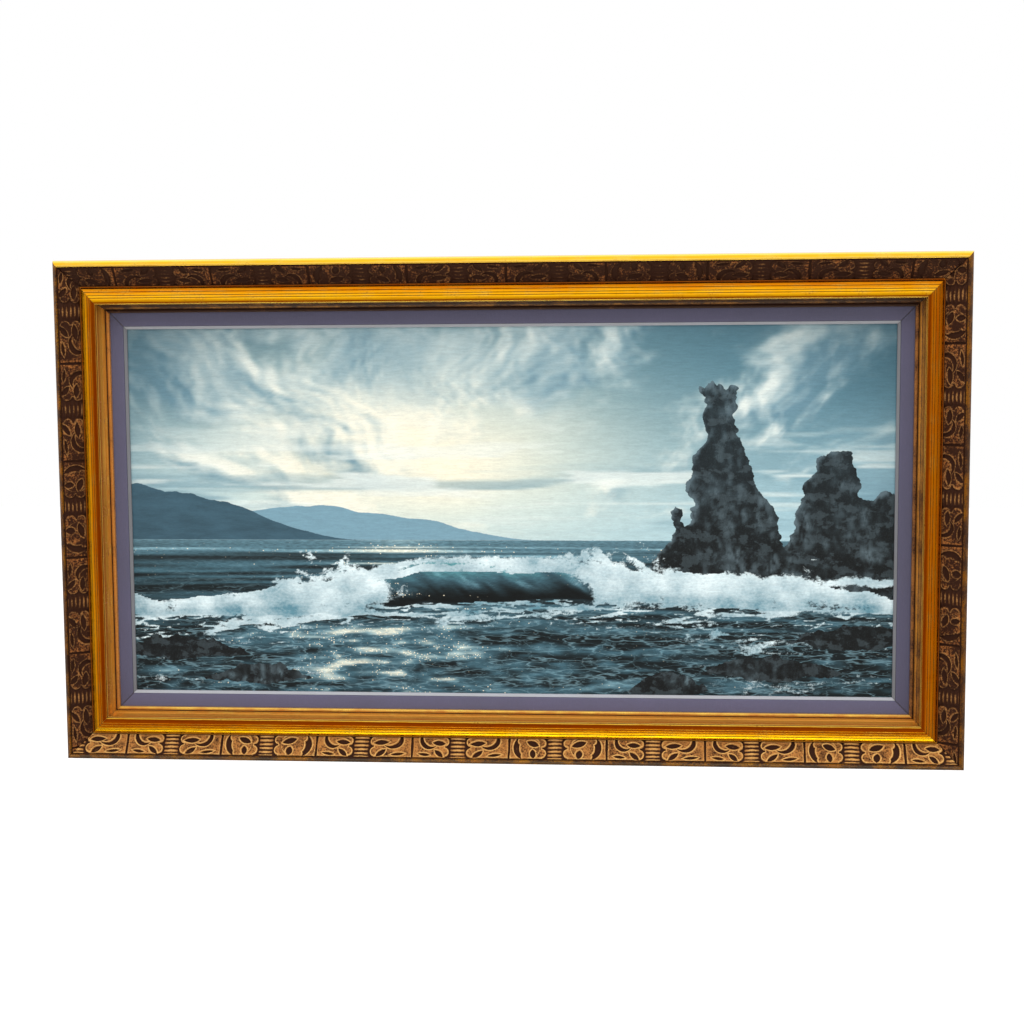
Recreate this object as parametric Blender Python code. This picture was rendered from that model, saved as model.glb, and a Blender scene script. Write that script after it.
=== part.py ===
"""Wide seascape on canvas, in a carved gilt frame with a flat grey liner.

Metres, +Z up. The picture faces -Y and the frame's flat back lies in the plane y = 0.
The origin is the middle of the top rail's back, where the frame lies against a wall.

A moulding's section is drawn in two directions: out, from the sight edge towards the frame's
outer edge, and deep, from the wall plane towards the viewer. Every length of moulding is drawn
along its own third direction and then turned to its side of the picture.
"""

import math

import bmesh
import bpy
import numpy as np
from mathutils import Matrix, Vector
from mathutils.geometry import delaunay_2d_cdt

# The canvas and its stretcher
CANVAS_WIDTH = 1.219
CANVAS_HEIGHT = 0.597
CANVAS_THICKNESS = 0.001
STRETCHER_DEPTH = 0.019
STRETCHER_WIDTH = 0.038
STRETCHER_BEAD = 0.006
STRETCHER_TAPER = 0.002
CROSS_BAR_DEPTH = 0.014

# How the pieces sit in one another
FIT_GAP = 0.0003
LINER_OVERLAP = 0.0095
LINER_CLEARANCE = 0.0006
REBATE_OVERLAP = 0.008
REBATE_CLEARANCE = 0.0006
BACK_RECESS = 0.004

# The liner, from the sight edge outwards
SIGHT_EDGE = 0.003
BEVEL_WIDTH = 0.0044
BEVEL_RISE = 0.0024
LINER_FACE_WIDTH = 0.0256
LINER_RISE = 0.0027

# The gilt moulding, from the liner outwards: widths of its members
LIP_WIDTH = 0.0048
BEAD_WIDTH = 0.0030
COVE_WIDTH = 0.0036
GROOVE_WIDTH = 0.0010
FILLET_WIDTH = 0.0019
OGEE_WIDTH = 0.0240
STEP_WIDTH = 0.0022
BAND_WIDTH = 0.0292
CREST_WIDTH = 0.0020
OUTER_LIP_WIDTH = 0.0088
SIDE_TAPER = 0.0025
BACK_EASE = 0.0015

# The gilt moulding: heights of its members above the sight edge
LIP_HEIGHT = 0.0099
BEAD_HEIGHT = 0.0166
COVE_HEIGHT = 0.0308
FILLET_HEIGHT = 0.0352
OGEE_HEIGHT = 0.0362
STEP_HEIGHT = 0.0224
BAND_FLOOR_INNER = 0.0194
BAND_FLOOR_OUTER = 0.0392
CREST_HEIGHT = 0.0432
OUTER_LIP_HEIGHT = 0.0190

# The carving: the length of one unit, its depth, and how it seats on the rail
PITCH = 0.153
RELIEF = 0.0026
RELIEF_SEAT = 0.0016
RELIEF_FLOOR = 0.0006
RELIEF_IN_CREST = 0.0010
RELIEF_IN_STEP = 0.0008
RELIEF_MARGIN = 0.0006
RELIEF_SPACING = 0.0005
RELIEF_GRID = 0.0013
RELIEF_FACES_PER_METRE = 1800
FOLDED_NORMAL = 0.05

# One unit of the carving is drawn 153 long and 33 wide, which its real pitch and width scale.
# Circles are (along, across, radius), almonds (along, across, length, width, tilt in degrees),
# both from the dividing groove and the band's inner edge.
DRAWN_LENGTH = 153.0
DRAWN_WIDTH = 33.0
FIRST_PANEL = 58.0
BARS = 28.0
BAR_SPACING = 6.0
TALL_CRESCENT = (27.0, 14.5, 20.5)
TALL_LOBES = ((33.0, 15.0, 17.0), (19.5, 4.5, 6.2), (26.0, 28.5, 6.6))
TALL_ALMONDS = ((37.5, 9.3, 21.0, 9.6, 20.0), (37.5, 25.0, 14.0, 9.4, 82.0))
LOW_CRESCENT = (26.5, 5.5, 14.6)
LOW_LOBES = ((32.0, 1.0, 14.4),)
LOW_ALMONDS = (
    (42.5, 10.2, 22.0, 8.4, 5.0),
    (43.0, 26.7, 18.5, 7.8, 38.0),
    (19.5, 28.2, 20.0, 5.0, 7.0),
)
END_LOBES = ((7.6, 8.2, 6.6), (8.0, 24.2, 7.0))
END_STRAIGHT = 7.0
GROUND = 0.95
RECESS_FLOOR = 0.06
RECESS_SLOPE = 1.8
BARS_FLOOR = 0.10
BARS_EDGE = 1.4
GROOVE_EDGES = (1.0, 2.4)
INNER_EDGES = (0.8, 2.8)
OUTER_EDGES = (0.0, 1.2)

# Where a dividing groove of the carving lies on each rail, from the rail's middle and clockwise
# as the viewer sees it, and which unit of the repeat begins there
DIVIDERS = {
    "top": (0.0047, 3),
    "right": (0.0476, 2),
    "bottom": (-0.0046, 1),
    "left": (0.0825, 1),
}

# The points that hold the liner and the canvas in the frame
POINT_LENGTH = 0.030
POINT_WIDTH = 0.011
POINT_THICKNESS = 0.001
TOP_POINT_COUNT = 3
SIDE_POINT_COUNT = 2

# Worked out from the sizes above
SIGHT_WIDTH = CANVAS_WIDTH - 2 * LINER_OVERLAP
SIGHT_HEIGHT = CANVAS_HEIGHT - 2 * LINER_OVERLAP
STRETCHER_BACK = BACK_RECESS + CANVAS_THICKNESS + FIT_GAP
STRETCHER_FRONT = STRETCHER_BACK + STRETCHER_DEPTH
CANVAS_BACK = STRETCHER_FRONT + FIT_GAP
CANVAS_FACE = CANVAS_BACK + CANVAS_THICKNESS
LINER_SEAT = CANVAS_FACE + FIT_GAP
SIGHT_DEPTH = LINER_SEAT + SIGHT_EDGE
REBATE_WALL = LINER_FACE_WIDTH + REBATE_OVERLAP + REBATE_CLEARANCE
BAND_START = (
    LINER_FACE_WIDTH + LIP_WIDTH + BEAD_WIDTH + COVE_WIDTH + 2 * GROOVE_WIDTH
    + FILLET_WIDTH + OGEE_WIDTH + STEP_WIDTH
)
BAND_END = BAND_START + BAND_WIDTH
BAND_SLOPE = math.hypot(BAND_WIDTH, BAND_FLOOR_OUTER - BAND_FLOOR_INNER)
FRAME_EDGE = BAND_END + CREST_WIDTH + OUTER_LIP_WIDTH
BACK_EDGE = FRAME_EDGE - SIDE_TAPER
BACK_MIDDLE = (REBATE_WALL + BACK_EDGE) / 2
SIGHT_CENTRE = Vector((0.0, 0.0, -(SIGHT_HEIGHT / 2 + BACK_MIDDLE)))

# Each side's direction outwards; its mouldings run clockwise as the viewer sees them
OUTWARDS = {
    "top": Vector((0, 0, 1)),
    "right": Vector((1, 0, 0)),
    "bottom": Vector((0, 0, -1)),
    "left": Vector((-1, 0, 0)),
}
TO_VIEWER = Vector((0, -1, 0))


def start_collections():
    """Empties the scene and makes one collection for the pieces and one for the cutters."""
    for thing in list(bpy.data.objects):
        bpy.data.objects.remove(thing, do_unlink=True)
    pieces = bpy.data.collections.new("framed_seascape_painting")
    cutters = bpy.data.collections.new("cutters")
    bpy.context.scene.collection.children.link(pieces)
    bpy.context.scene.collection.children.link(cutters)
    return pieces, cutters


def plain_material(name, colour, roughness, metallic=0.0):
    """A Principled material with one colour."""
    material = bpy.data.materials.new(name)
    material.use_nodes = True
    shader = material.node_tree.nodes["Principled BSDF"]
    shader.inputs["Base Color"].default_value = (*colour, 1.0)
    shader.inputs["Roughness"].default_value = roughness
    shader.inputs["Metallic"].default_value = metallic
    return material


def half_opening(side):
    """Half of the sight opening's length along one side."""
    return (SIGHT_WIDTH if side in ("top", "bottom") else SIGHT_HEIGHT) / 2


def side_matrix(side):
    """Turns (out, deep, along) into the world, with the origin at the middle of the sight edge."""
    out = OUTWARDS[side]
    along = out.cross(TO_VIEWER)
    reach = SIGHT_HEIGHT / 2 if side in ("top", "bottom") else SIGHT_WIDTH / 2
    turn = Matrix((out, TO_VIEWER, along)).transposed().to_4x4()
    return Matrix.Translation(SIGHT_CENTRE + out * reach) @ turn


def arc(start, end, bulge, count):
    """Points of a circular arc after its start: bulge is how far its middle stands to the left."""
    start = Vector(start)
    end = Vector(end)
    chord = end - start
    half = chord.length / 2
    radius = (half * half + bulge * bulge) / (2 * abs(bulge))
    left = Vector((-chord.y, chord.x)).normalized() * math.copysign(1, bulge)
    centre = (start + end) / 2 - left * (radius - abs(bulge))
    first = start - centre
    sweep = -2 * math.asin(min(1.0, half / radius)) * math.copysign(1, bulge)
    points = []
    for step in range(1, count + 1):
        angle = sweep * step / count
        turned = Matrix.Rotation(angle, 2) @ first
        points.append(tuple(centre + turned))
    return points


def frame_outline():
    """The gilt moulding's closed section, from its rebate over the front to its back."""
    out = LINER_FACE_WIDTH
    level = SIGHT_DEPTH
    points = [(out, level + LINER_RISE + FIT_GAP), (out, level + LIP_HEIGHT - LIP_WIDTH / 3)]
    points += arc(points[-1], (out + LIP_WIDTH, level + LIP_HEIGHT - LIP_WIDTH / 4), LIP_WIDTH / 4, 4)
    out += LIP_WIDTH
    points.append((out + GROOVE_WIDTH / 2, level + LIP_HEIGHT - LIP_WIDTH / 3))
    out += GROOVE_WIDTH
    points.append((out, level + LIP_HEIGHT))
    points += arc(points[-1], (out + BEAD_WIDTH, level + BEAD_HEIGHT), BEAD_WIDTH / 3, 4)
    out += BEAD_WIDTH
    points += arc(points[-1], (out + COVE_WIDTH, level + COVE_HEIGHT), -COVE_WIDTH / 3, 4)
    out += COVE_WIDTH
    points.append((out + GROOVE_WIDTH, level + COVE_HEIGHT))
    out += GROOVE_WIDTH
    points.append((out, level + FILLET_HEIGHT - GROOVE_WIDTH / 2))
    points.append((out + FILLET_WIDTH, level + FILLET_HEIGHT))
    out += FILLET_WIDTH
    points += arc(points[-1], (out + OGEE_WIDTH, level + STEP_HEIGHT - STEP_WIDTH / 2),
                  OGEE_HEIGHT - FILLET_HEIGHT + OGEE_WIDTH / 8, 8)
    out += OGEE_WIDTH
    points.append((out + STEP_WIDTH / 4, level + STEP_HEIGHT))
    points.append((out + STEP_WIDTH, level + STEP_HEIGHT))
    out = BAND_START
    points.append((out, level + BAND_FLOOR_INNER))
    points.append((BAND_END, level + BAND_FLOOR_OUTER))
    points.append((BAND_END, level + CREST_HEIGHT - CREST_WIDTH / 3))
    points += arc(points[-1], (BAND_END + CREST_WIDTH, level + CREST_HEIGHT - CREST_WIDTH / 6),
                  CREST_WIDTH / 4, 3)
    points += arc(points[-1], (FRAME_EDGE, level + OUTER_LIP_HEIGHT), OUTER_LIP_WIDTH / 3, 6)
    points.append((BACK_EDGE, BACK_EASE))
    points.append((BACK_EDGE - BACK_EASE, 0.0))
    points.append((REBATE_WALL + BACK_EASE / 3, 0.0))
    points.append((REBATE_WALL, BACK_EASE / 3))
    points.append((REBATE_WALL, level + LINER_RISE + FIT_GAP))
    return points


def liner_outline():
    """The liner's closed section: a pale bevel, a flat face and a step that holds the canvas."""
    outer = REBATE_WALL - REBATE_CLEARANCE
    step = LINER_OVERLAP + LINER_CLEARANCE
    return [
        (0.0, LINER_SEAT),
        (0.0, SIGHT_DEPTH),
        (BEVEL_WIDTH, SIGHT_DEPTH + BEVEL_RISE),
        (BEVEL_WIDTH + (LINER_RISE - BEVEL_RISE), SIGHT_DEPTH + LINER_RISE),
        (outer, SIGHT_DEPTH + LINER_RISE),
        (outer, BACK_RECESS),
        (step, BACK_RECESS),
        (step, LINER_SEAT),
    ]


def stretcher_outline():
    """A stretcher bar's section: full depth under its outer bead, thinner towards the middle."""
    outer = LINER_OVERLAP - CANVAS_THICKNESS - FIT_GAP
    inner = outer - STRETCHER_WIDTH
    return [
        (outer, STRETCHER_BACK),
        (inner, STRETCHER_BACK),
        (inner, STRETCHER_FRONT - STRETCHER_TAPER),
        (outer - STRETCHER_BEAD, STRETCHER_FRONT - STRETCHER_TAPER / 2),
        (outer - STRETCHER_BEAD / 2, STRETCHER_FRONT),
        (outer, STRETCHER_FRONT),
    ]


def extruded_mesh(name, outline, half_length):
    """Extrudes a closed outline both ways along its third direction and welds the caps."""
    curve = bpy.data.curves.new(name + "_outline", "CURVE")
    curve.dimensions = "2D"
    curve.fill_mode = "BOTH"
    curve.extrude = half_length
    spline = curve.splines.new("POLY")
    spline.points.add(len(outline) - 1)
    for point, (out, deep) in zip(spline.points, outline):
        point.co = (out, deep, 0.0, 1.0)
    spline.use_cyclic_u = True
    guide = bpy.data.objects.new(name + "_outline", curve)
    bpy.context.scene.collection.objects.link(guide)
    bpy.context.view_layer.update()
    evaluated = guide.evaluated_get(bpy.context.evaluated_depsgraph_get())
    mesh = bpy.data.meshes.new_from_object(evaluated)
    mesh.name = name
    bpy.data.objects.remove(guide, do_unlink=True)
    welded = bmesh.new()
    welded.from_mesh(mesh)
    bmesh.ops.remove_doubles(welded, verts=welded.verts, dist=1e-6)
    bmesh.ops.recalc_face_normals(welded, faces=welded.faces)
    welded.to_mesh(mesh)
    welded.free()
    return mesh


def mitre_mesh(mesh, side):
    """Slides the end points of a moulding along it, so that both ends lie in the 45 degree planes."""
    for vertex in mesh.vertices:
        reach = half_opening(side) + vertex.co.x - FIT_GAP / 2
        vertex.co.z = math.copysign(reach, vertex.co.z)


def add_piece(name, mesh, material, collection, matrix):
    """Makes one named object with its material."""
    piece = bpy.data.objects.new(name, mesh)
    mesh.materials.clear()
    mesh.materials.append(material)
    collection.objects.link(piece)
    piece.matrix_world = matrix
    return piece


def hide_cutter(cutter):
    """A cutter or joined-in part isn't a piece of its own."""
    cutter.hide_render = True
    cutter.display_type = "WIRE"


def smooth(value, low, high):
    """Rises smoothly from 0 at low to 1 at high."""
    share = np.clip((value - low) / (high - low), 0.0, 1.0)
    return share * share * (3 - 2 * share)


def circle(t, v, shape):
    """Distance outside a circle, negative inside it."""
    t_centre, v_centre, radius = shape
    return np.hypot(t - t_centre, v - v_centre) - radius


def almond(t, v, shape):
    """Distance outside an almond, where two equal circles overlap, negative inside it."""
    t_centre, v_centre, length, width, tilt = shape
    turn = math.radians(tilt)
    along = (t - t_centre) * math.cos(turn) + (v - v_centre) * math.sin(turn)
    across = (v - v_centre) * math.cos(turn) - (t - t_centre) * math.sin(turn)
    radius = (length * length + width * width) / (4 * width)
    return np.hypot(along, np.abs(across) + radius - width / 2) - radius


def nearest(distances):
    """Distance outside the union of several shapes."""
    return np.minimum.reduce(distances)


def leaf_recesses(t, v, tall):
    """Distance outside the recesses of one leaf panel, t from its dividing groove.

    A tall panel has a crescent over its whole width and two almonds; a low one has a short
    crescent, two almonds and a lying lens. A crescent is a circle less round lobes.
    """
    outer = TALL_CRESCENT if tall else LOW_CRESCENT
    lobes = nearest([circle(t, v, shape) for shape in (TALL_LOBES if tall else LOW_LOBES)])
    crescent = np.maximum(circle(t, v, outer), -lobes)
    almonds = TALL_ALMONDS if tall else LOW_ALMONDS
    return nearest([crescent] + [almond(t, v, shape) for shape in almonds])


def panel_end(t, v, length):
    """Distance outside a panel whose far end has two round lobes."""
    lobes = [circle(t, v, (length + 1 - inset, across, radius)) for inset, across, radius in END_LOBES]
    return nearest([t - (length + 1 - END_STRAIGHT)] + lobes)


def carving_height(stick, across):
    """Height of the carving as a share of its relief, along and across the band.

    The stick repeats every three units. A unit is a groove, a leaf panel, a block of bars that
    run along the rail, and the panel's mirror image, which is a little longer.
    """
    unit = np.floor(stick / PITCH)
    t = (stick / PITCH - unit) * DRAWN_LENGTH
    v = across / BAND_SLOPE * DRAWN_WIDTH
    back = DRAWN_LENGTH - t
    second_panel = DRAWN_LENGTH - FIRST_PANEL - BARS
    bars_middle = FIRST_PANEL + BARS / 2
    from_groove = np.where(t < bars_middle, t, back * FIRST_PANEL / second_panel)
    is_tall = unit % 3 == 1
    recesses = np.where(
        is_tall, leaf_recesses(from_groove, v, True), leaf_recesses(from_groove, v, False)
    )
    leaves = GROUND - (GROUND - RECESS_FLOOR) * smooth(-recesses, 0.0, RECESS_SLOPE)
    middle = np.clip(1 - np.abs(t - bars_middle) / (BARS / 2), 0.0, 1.0)
    wave = 0.5 - 0.5 * np.cos(2 * math.pi * v / BAR_SPACING)
    bars = BARS_FLOOR + (0.25 + 0.45 * wave) * smooth(middle, 0.0, 0.35)
    bars += 0.25 * smooth(middle, 0.5, 1.0)
    off_panels = nearest([panel_end(t, v, FIRST_PANEL), panel_end(back, v, second_panel)])
    height = leaves + (bars - leaves) * smooth(off_panels, 0.0, BARS_EDGE)
    height = height * smooth(nearest([t, back]), *GROOVE_EDGES)
    return height * smooth(v, *INNER_EDGES) * smooth(DRAWN_WIDTH - v, *OUTER_EDGES)


def band_frame():
    """The carved band's floor: where it starts, its direction outwards and its normal."""
    start = Vector((BAND_START, SIGHT_DEPTH + BAND_FLOOR_INNER, 0.0))
    end = Vector((BAND_END, SIGHT_DEPTH + BAND_FLOOR_OUTER, 0.0))
    slope = (end - start).normalized()
    normal = Vector((0, 0, 1)).cross(slope)
    return start, slope, normal


def stick_place(side, along):
    """Where a place along a rail, from its middle, lies on the carved stick that it was cut from."""
    divider, unit = DIVIDERS[side]
    return unit * PITCH + divider - along


def across_band(y):
    """How far a place across the relief lies from the band's inner edge."""
    return y - RELIEF_IN_STEP


def carved_sheet(side, length, width):
    """The carving as an open sheet of small squares, thinned where it is nearly flat."""
    grid = bmesh.new()
    bmesh.ops.create_grid(
        grid, x_segments=round(length / RELIEF_GRID), y_segments=round(width / RELIEF_GRID), size=0.5,
        matrix=Matrix.Translation((0, width / 2, 0)) @ Matrix.Diagonal((length, width, 1, 1)),
    )
    places = np.array([vertex.co for vertex in grid.verts])
    heights = RELIEF * carving_height(stick_place(side, places[:, 0]), across_band(places[:, 1]))
    for vertex, height in zip(grid.verts, heights):
        vertex.co.z = height
    bmesh.ops.triangulate(grid, faces=grid.faces)
    face_count = len(grid.faces)
    mesh = bpy.data.meshes.new(side + "_sheet")
    grid.to_mesh(mesh)
    grid.free()
    sheet = bpy.data.objects.new(side + "_sheet", mesh)
    bpy.context.scene.collection.objects.link(sheet)
    fewer = sheet.modifiers.new("fewer_faces", "DECIMATE")
    fewer.ratio = RELIEF_FACES_PER_METRE * length / face_count
    evaluated = sheet.evaluated_get(bpy.context.evaluated_depsgraph_get())
    thinned = bpy.data.meshes.new_from_object(evaluated)
    bpy.data.objects.remove(sheet, do_unlink=True)
    return thinned


def groove_lines(side, length):
    """Both edges of each dividing groove on a rail, as lines of points across the band."""
    divider, unit = DIVIDERS[side]
    scale = PITCH / DRAWN_LENGTH
    reach = length / 2 - GROOVE_EDGES[1] * scale - RELIEF_MARGIN
    across = (INNER_EDGES[0], INNER_EDGES[1], DRAWN_WIDTH - OUTER_EDGES[1], DRAWN_WIDTH)
    heights = [RELIEF_IN_STEP + v * BAND_SLOPE / DRAWN_WIDTH for v in across]
    lines = []
    first = math.ceil((divider - reach) / PITCH)
    last = math.floor((divider + reach) / PITCH)
    for groove in range(first, last + 1):
        for edge in GROOVE_EDGES:
            for turn in (-1, 1):
                x = divider - groove * PITCH + turn * edge * scale
                lines.append([Vector((x, y)) for y in heights])
    return lines


def flat_layout(side, sheet, length, width):
    """The thinned sheet's points and edges laid flat, without folds, near-doubles and rim points.

    The points in and beside each dividing groove give way to straight lines along its edges.
    """
    flat = bmesh.new()
    flat.from_mesh(sheet)
    folded = set()
    for face in flat.faces:
        if face.normal.z < FOLDED_NORMAL:
            folded.update(face.edges)
    for vertex in flat.verts:
        vertex.co.z = 0.0
    bmesh.ops.delete(flat, geom=list(folded), context="EDGES_FACES")
    rim = [
        vertex for vertex in flat.verts
        if min(vertex.co.y, width - vertex.co.y, length / 2 - abs(vertex.co.x)) < RELIEF_MARGIN
    ]
    bmesh.ops.delete(flat, geom=rim, context="VERTS")
    grooved = GROOVE_EDGES[1] * PITCH / DRAWN_LENGTH + RELIEF_MARGIN
    beside = [
        vertex for vertex in flat.verts
        if abs((stick_place(side, vertex.co.x) + PITCH / 2) % PITCH - PITCH / 2) < grooved
    ]
    bmesh.ops.delete(flat, geom=beside, context="VERTS")
    crossing = [
        edge for edge in flat.edges
        if len({math.floor(stick_place(side, end.co.x) / PITCH) for end in edge.verts}) > 1
    ]
    bmesh.ops.delete(flat, geom=crossing, context="EDGES_FACES")
    bmesh.ops.remove_doubles(flat, verts=flat.verts, dist=RELIEF_SPACING)
    flat.verts.index_update()
    points = [vertex.co.xy for vertex in flat.verts]
    edges = [(edge.verts[0].index, edge.verts[1].index) for edge in flat.edges]
    flat.free()
    for line in groove_lines(side, length):
        edges += [(len(points) + step, len(points) + step + 1) for step in range(len(line) - 1)]
        points += line
    points += [Vector((end * length / 2, edge * width)) for end in (-1, 1) for edge in (0, 1)]
    return points, edges


def relief_slab(side, material, collection):
    """The carving as one closed slab on the band's floor, in few faces.

    Thinning can fold a sheet over itself, so its points and edges are laid out flat again,
    triangulated there, and raised to the carving's height.
    """
    start, slope, normal = band_frame()
    width = RELIEF_IN_STEP + BAND_SLOPE + RELIEF_IN_CREST
    length = 2 * (half_opening(side) + FRAME_EDGE)
    points, edges = flat_layout(side, carved_sheet(side, length, width), length, width)
    points, _, triangles, _, _, _ = delaunay_2d_cdt(points, edges, [], 0, 1e-5)
    places = np.array([tuple(point) for point in points])
    carving = carving_height(stick_place(side, places[:, 0]), across_band(places[:, 1]))
    slab = bmesh.new()
    tops = [
        slab.verts.new((*place, RELIEF_FLOOR + RELIEF * share))
        for place, share in zip(places, carving)
    ]
    for triangle in triangles:
        slab.faces.new([tops[index] for index in triangle])
    below = bmesh.ops.extrude_face_region(slab, geom=list(slab.faces), use_keep_orig=True)
    for item in below["geom"]:
        if isinstance(item, bmesh.types.BMVert):
            item.co.z = -RELIEF_SEAT
    bmesh.ops.recalc_face_normals(slab, faces=slab.faces)
    level = [face for face in slab.faces if max(vertex.co.z for vertex in face.verts) < 0]
    bmesh.ops.dissolve_faces(slab, faces=level)
    bmesh.ops.triangulate(slab, faces=slab.faces)
    mesh = bpy.data.meshes.new(side + "_carving")
    slab.to_mesh(mesh)
    slab.free()
    turn = Matrix((Vector((0, 0, 1)), slope, normal)).transposed().to_4x4()
    matrix = side_matrix(side) @ Matrix.Translation(start - slope * RELIEF_IN_STEP) @ turn
    piece = add_piece(side + "_carving", mesh, material, collection, matrix)
    hide_cutter(piece)
    return piece


def mitre_cutter(side, collection):
    """Two blocks that cut both ends of a rail at 45 degrees, seen from the front."""
    size = 4 * FRAME_EDGE
    blocks = bmesh.new()
    for end in (-1, 1):
        normal = Vector((-1, 0, end)).normalized()
        on_plane = Vector((0, SIGHT_DEPTH, end * (half_opening(side) - FIT_GAP / 2)))
        turn = Matrix.Rotation(-end * math.pi / 4, 4, "Y")
        place = Matrix.Translation(on_plane + normal * size / 2)
        bmesh.ops.create_cube(blocks, size=size, matrix=place @ turn)
    mesh = bpy.data.meshes.new(side + "_mitre_cutter")
    blocks.to_mesh(mesh)
    blocks.free()
    cutter = bpy.data.objects.new(side + "_mitre_cutter", mesh)
    collection.objects.link(cutter)
    cutter.matrix_world = side_matrix(side)
    hide_cutter(cutter)
    return cutter


def add_boolean(piece, name, operation, other):
    """Adds a live boolean with the exact solver."""
    step = piece.modifiers.new(name, "BOOLEAN")
    step.operation = operation
    step.solver = "EXACT"
    step.object = other


def add_frame_rail(side, material, pieces, cutters):
    """One length of gilt moulding: its plain section, the carving on it, and its mitres."""
    name = "frame_" + side + "_rail"
    mesh = extruded_mesh(name, frame_outline(), half_opening(side) + FRAME_EDGE + 0.01)
    rail = add_piece(name, mesh, material, pieces, side_matrix(side))
    add_boolean(rail, "carving", "UNION", relief_slab(side, material, cutters))
    add_boolean(rail, "mitres", "DIFFERENCE", mitre_cutter(side, cutters))


def add_mitred_bar(name, side, outline, material, collection):
    """A plain mitred length of moulding or bar."""
    mesh = extruded_mesh(name, outline, half_opening(side))
    mitre_mesh(mesh, side)
    add_piece(name, mesh, material, collection, side_matrix(side))


def box_mesh(name, size):
    """A box about the origin."""
    box = bmesh.new()
    bmesh.ops.create_cube(box, size=1.0, matrix=Matrix.Diagonal((*size, 1)))
    mesh = bpy.data.meshes.new(name)
    box.to_mesh(mesh)
    box.free()
    return mesh


def add_canvas(material, collection):
    """The stretched canvas, a thin flat sheet in front of its bars."""
    mesh = box_mesh("painted_canvas", (CANVAS_WIDTH, CANVAS_THICKNESS, CANVAS_HEIGHT))
    place = SIGHT_CENTRE + TO_VIEWER * (CANVAS_BACK + CANVAS_FACE) / 2
    add_piece("painted_canvas", mesh, material, collection, Matrix.Translation(place))


def add_cross_bar(material, collection):
    """The upright bar that keeps the long stretcher bars from bowing in."""
    length = SIGHT_HEIGHT - 2 * (STRETCHER_WIDTH - LINER_OVERLAP + CANVAS_THICKNESS + 2 * FIT_GAP)
    mesh = box_mesh("stretcher_cross_bar", (STRETCHER_WIDTH, CROSS_BAR_DEPTH, length))
    place = SIGHT_CENTRE + TO_VIEWER * (STRETCHER_BACK + CROSS_BAR_DEPTH / 2)
    add_piece("stretcher_cross_bar", mesh, material, collection, Matrix.Translation(place))


def point_outline():
    """A framing point seen from behind: a flat blade with a tapered tip, out to in."""
    head = REBATE_WALL - FIT_GAP
    tip = head - POINT_LENGTH
    half = POINT_WIDTH / 2
    taper = POINT_LENGTH / 3
    return [(head, -half), (head, half), (tip + taper, half), (tip, half / 2), (tip, -half / 2),
            (tip + taper, -half)]


def add_framing_points(material, collection):
    """Steel points that reach from the rebate's wall over the liner's and stretcher's backs."""
    number = 0
    for side in OUTWARDS:
        count = TOP_POINT_COUNT if side in ("top", "bottom") else SIDE_POINT_COUNT
        for index in range(count):
            number += 1
            name = "framing_point_" + str(number)
            mesh = extruded_mesh(name, point_outline(), POINT_THICKNESS / 2)
            along = half_opening(side) * ((2 * index + 1) / count - 1)
            deep = BACK_RECESS - FIT_GAP - POINT_THICKNESS / 2
            turn = Matrix.Rotation(math.pi / 2, 4, "X")
            place = side_matrix(side) @ Matrix.Translation((0, deep, along)) @ turn
            add_piece(name, mesh, material, collection, place)


def main():
    pieces, cutters = start_collections()
    gilt = plain_material("gilt", (0.62, 0.36, 0.06), 0.32, 1.0)
    liner = plain_material("liner_cloth", (0.15, 0.14, 0.20), 0.85)
    paint = plain_material("paint", (0.12, 0.22, 0.26), 0.45)
    pine = plain_material("pine", (0.62, 0.45, 0.27), 0.75)
    steel = plain_material("steel", (0.55, 0.55, 0.53), 0.4, 1.0)
    for side in OUTWARDS:
        add_frame_rail(side, gilt, pieces, cutters)
        add_mitred_bar("liner_" + side + "_rail", side, liner_outline(), liner, pieces)
        add_mitred_bar("stretcher_" + side + "_bar", side, stretcher_outline(), pine, pieces)
    add_cross_bar(pine, pieces)
    add_canvas(paint, pieces)
    add_framing_points(steel, pieces)


main()
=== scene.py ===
"""Surfaces of a wide painted seascape in a carved gilt frame with a grey violet liner.

Metres, +Z up. The picture faces -Y and the frame's flat back lies in the plane y = 0.
A moulding's section is drawn as complex numbers: the real part is the distance outwards from
the sight edge, and the imaginary part the distance in front of the wall plane.
"""

import math

import bmesh
import bpy
import numpy as np
from bpy.props import FloatProperty, FloatVectorProperty, IntProperty, PointerProperty
from mathutils import Matrix, Vector


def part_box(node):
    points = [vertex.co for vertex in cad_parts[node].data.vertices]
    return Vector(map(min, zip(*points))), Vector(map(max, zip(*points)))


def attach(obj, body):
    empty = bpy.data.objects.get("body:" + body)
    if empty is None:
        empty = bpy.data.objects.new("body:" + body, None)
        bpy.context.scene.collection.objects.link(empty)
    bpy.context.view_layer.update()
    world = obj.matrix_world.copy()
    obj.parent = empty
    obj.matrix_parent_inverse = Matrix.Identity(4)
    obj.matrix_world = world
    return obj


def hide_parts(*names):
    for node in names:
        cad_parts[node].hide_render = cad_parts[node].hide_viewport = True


bl_info = {
    "name": "Framed Seascape",
    "version": (1, 0, 0),
    "blender": (4, 5, 0),
    "location": "View3D > Sidebar > Framed Seascape",
    "description": "Builds a carved gilt frame, its liner and the painted canvas in it",
    "category": "Object",
}

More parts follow.
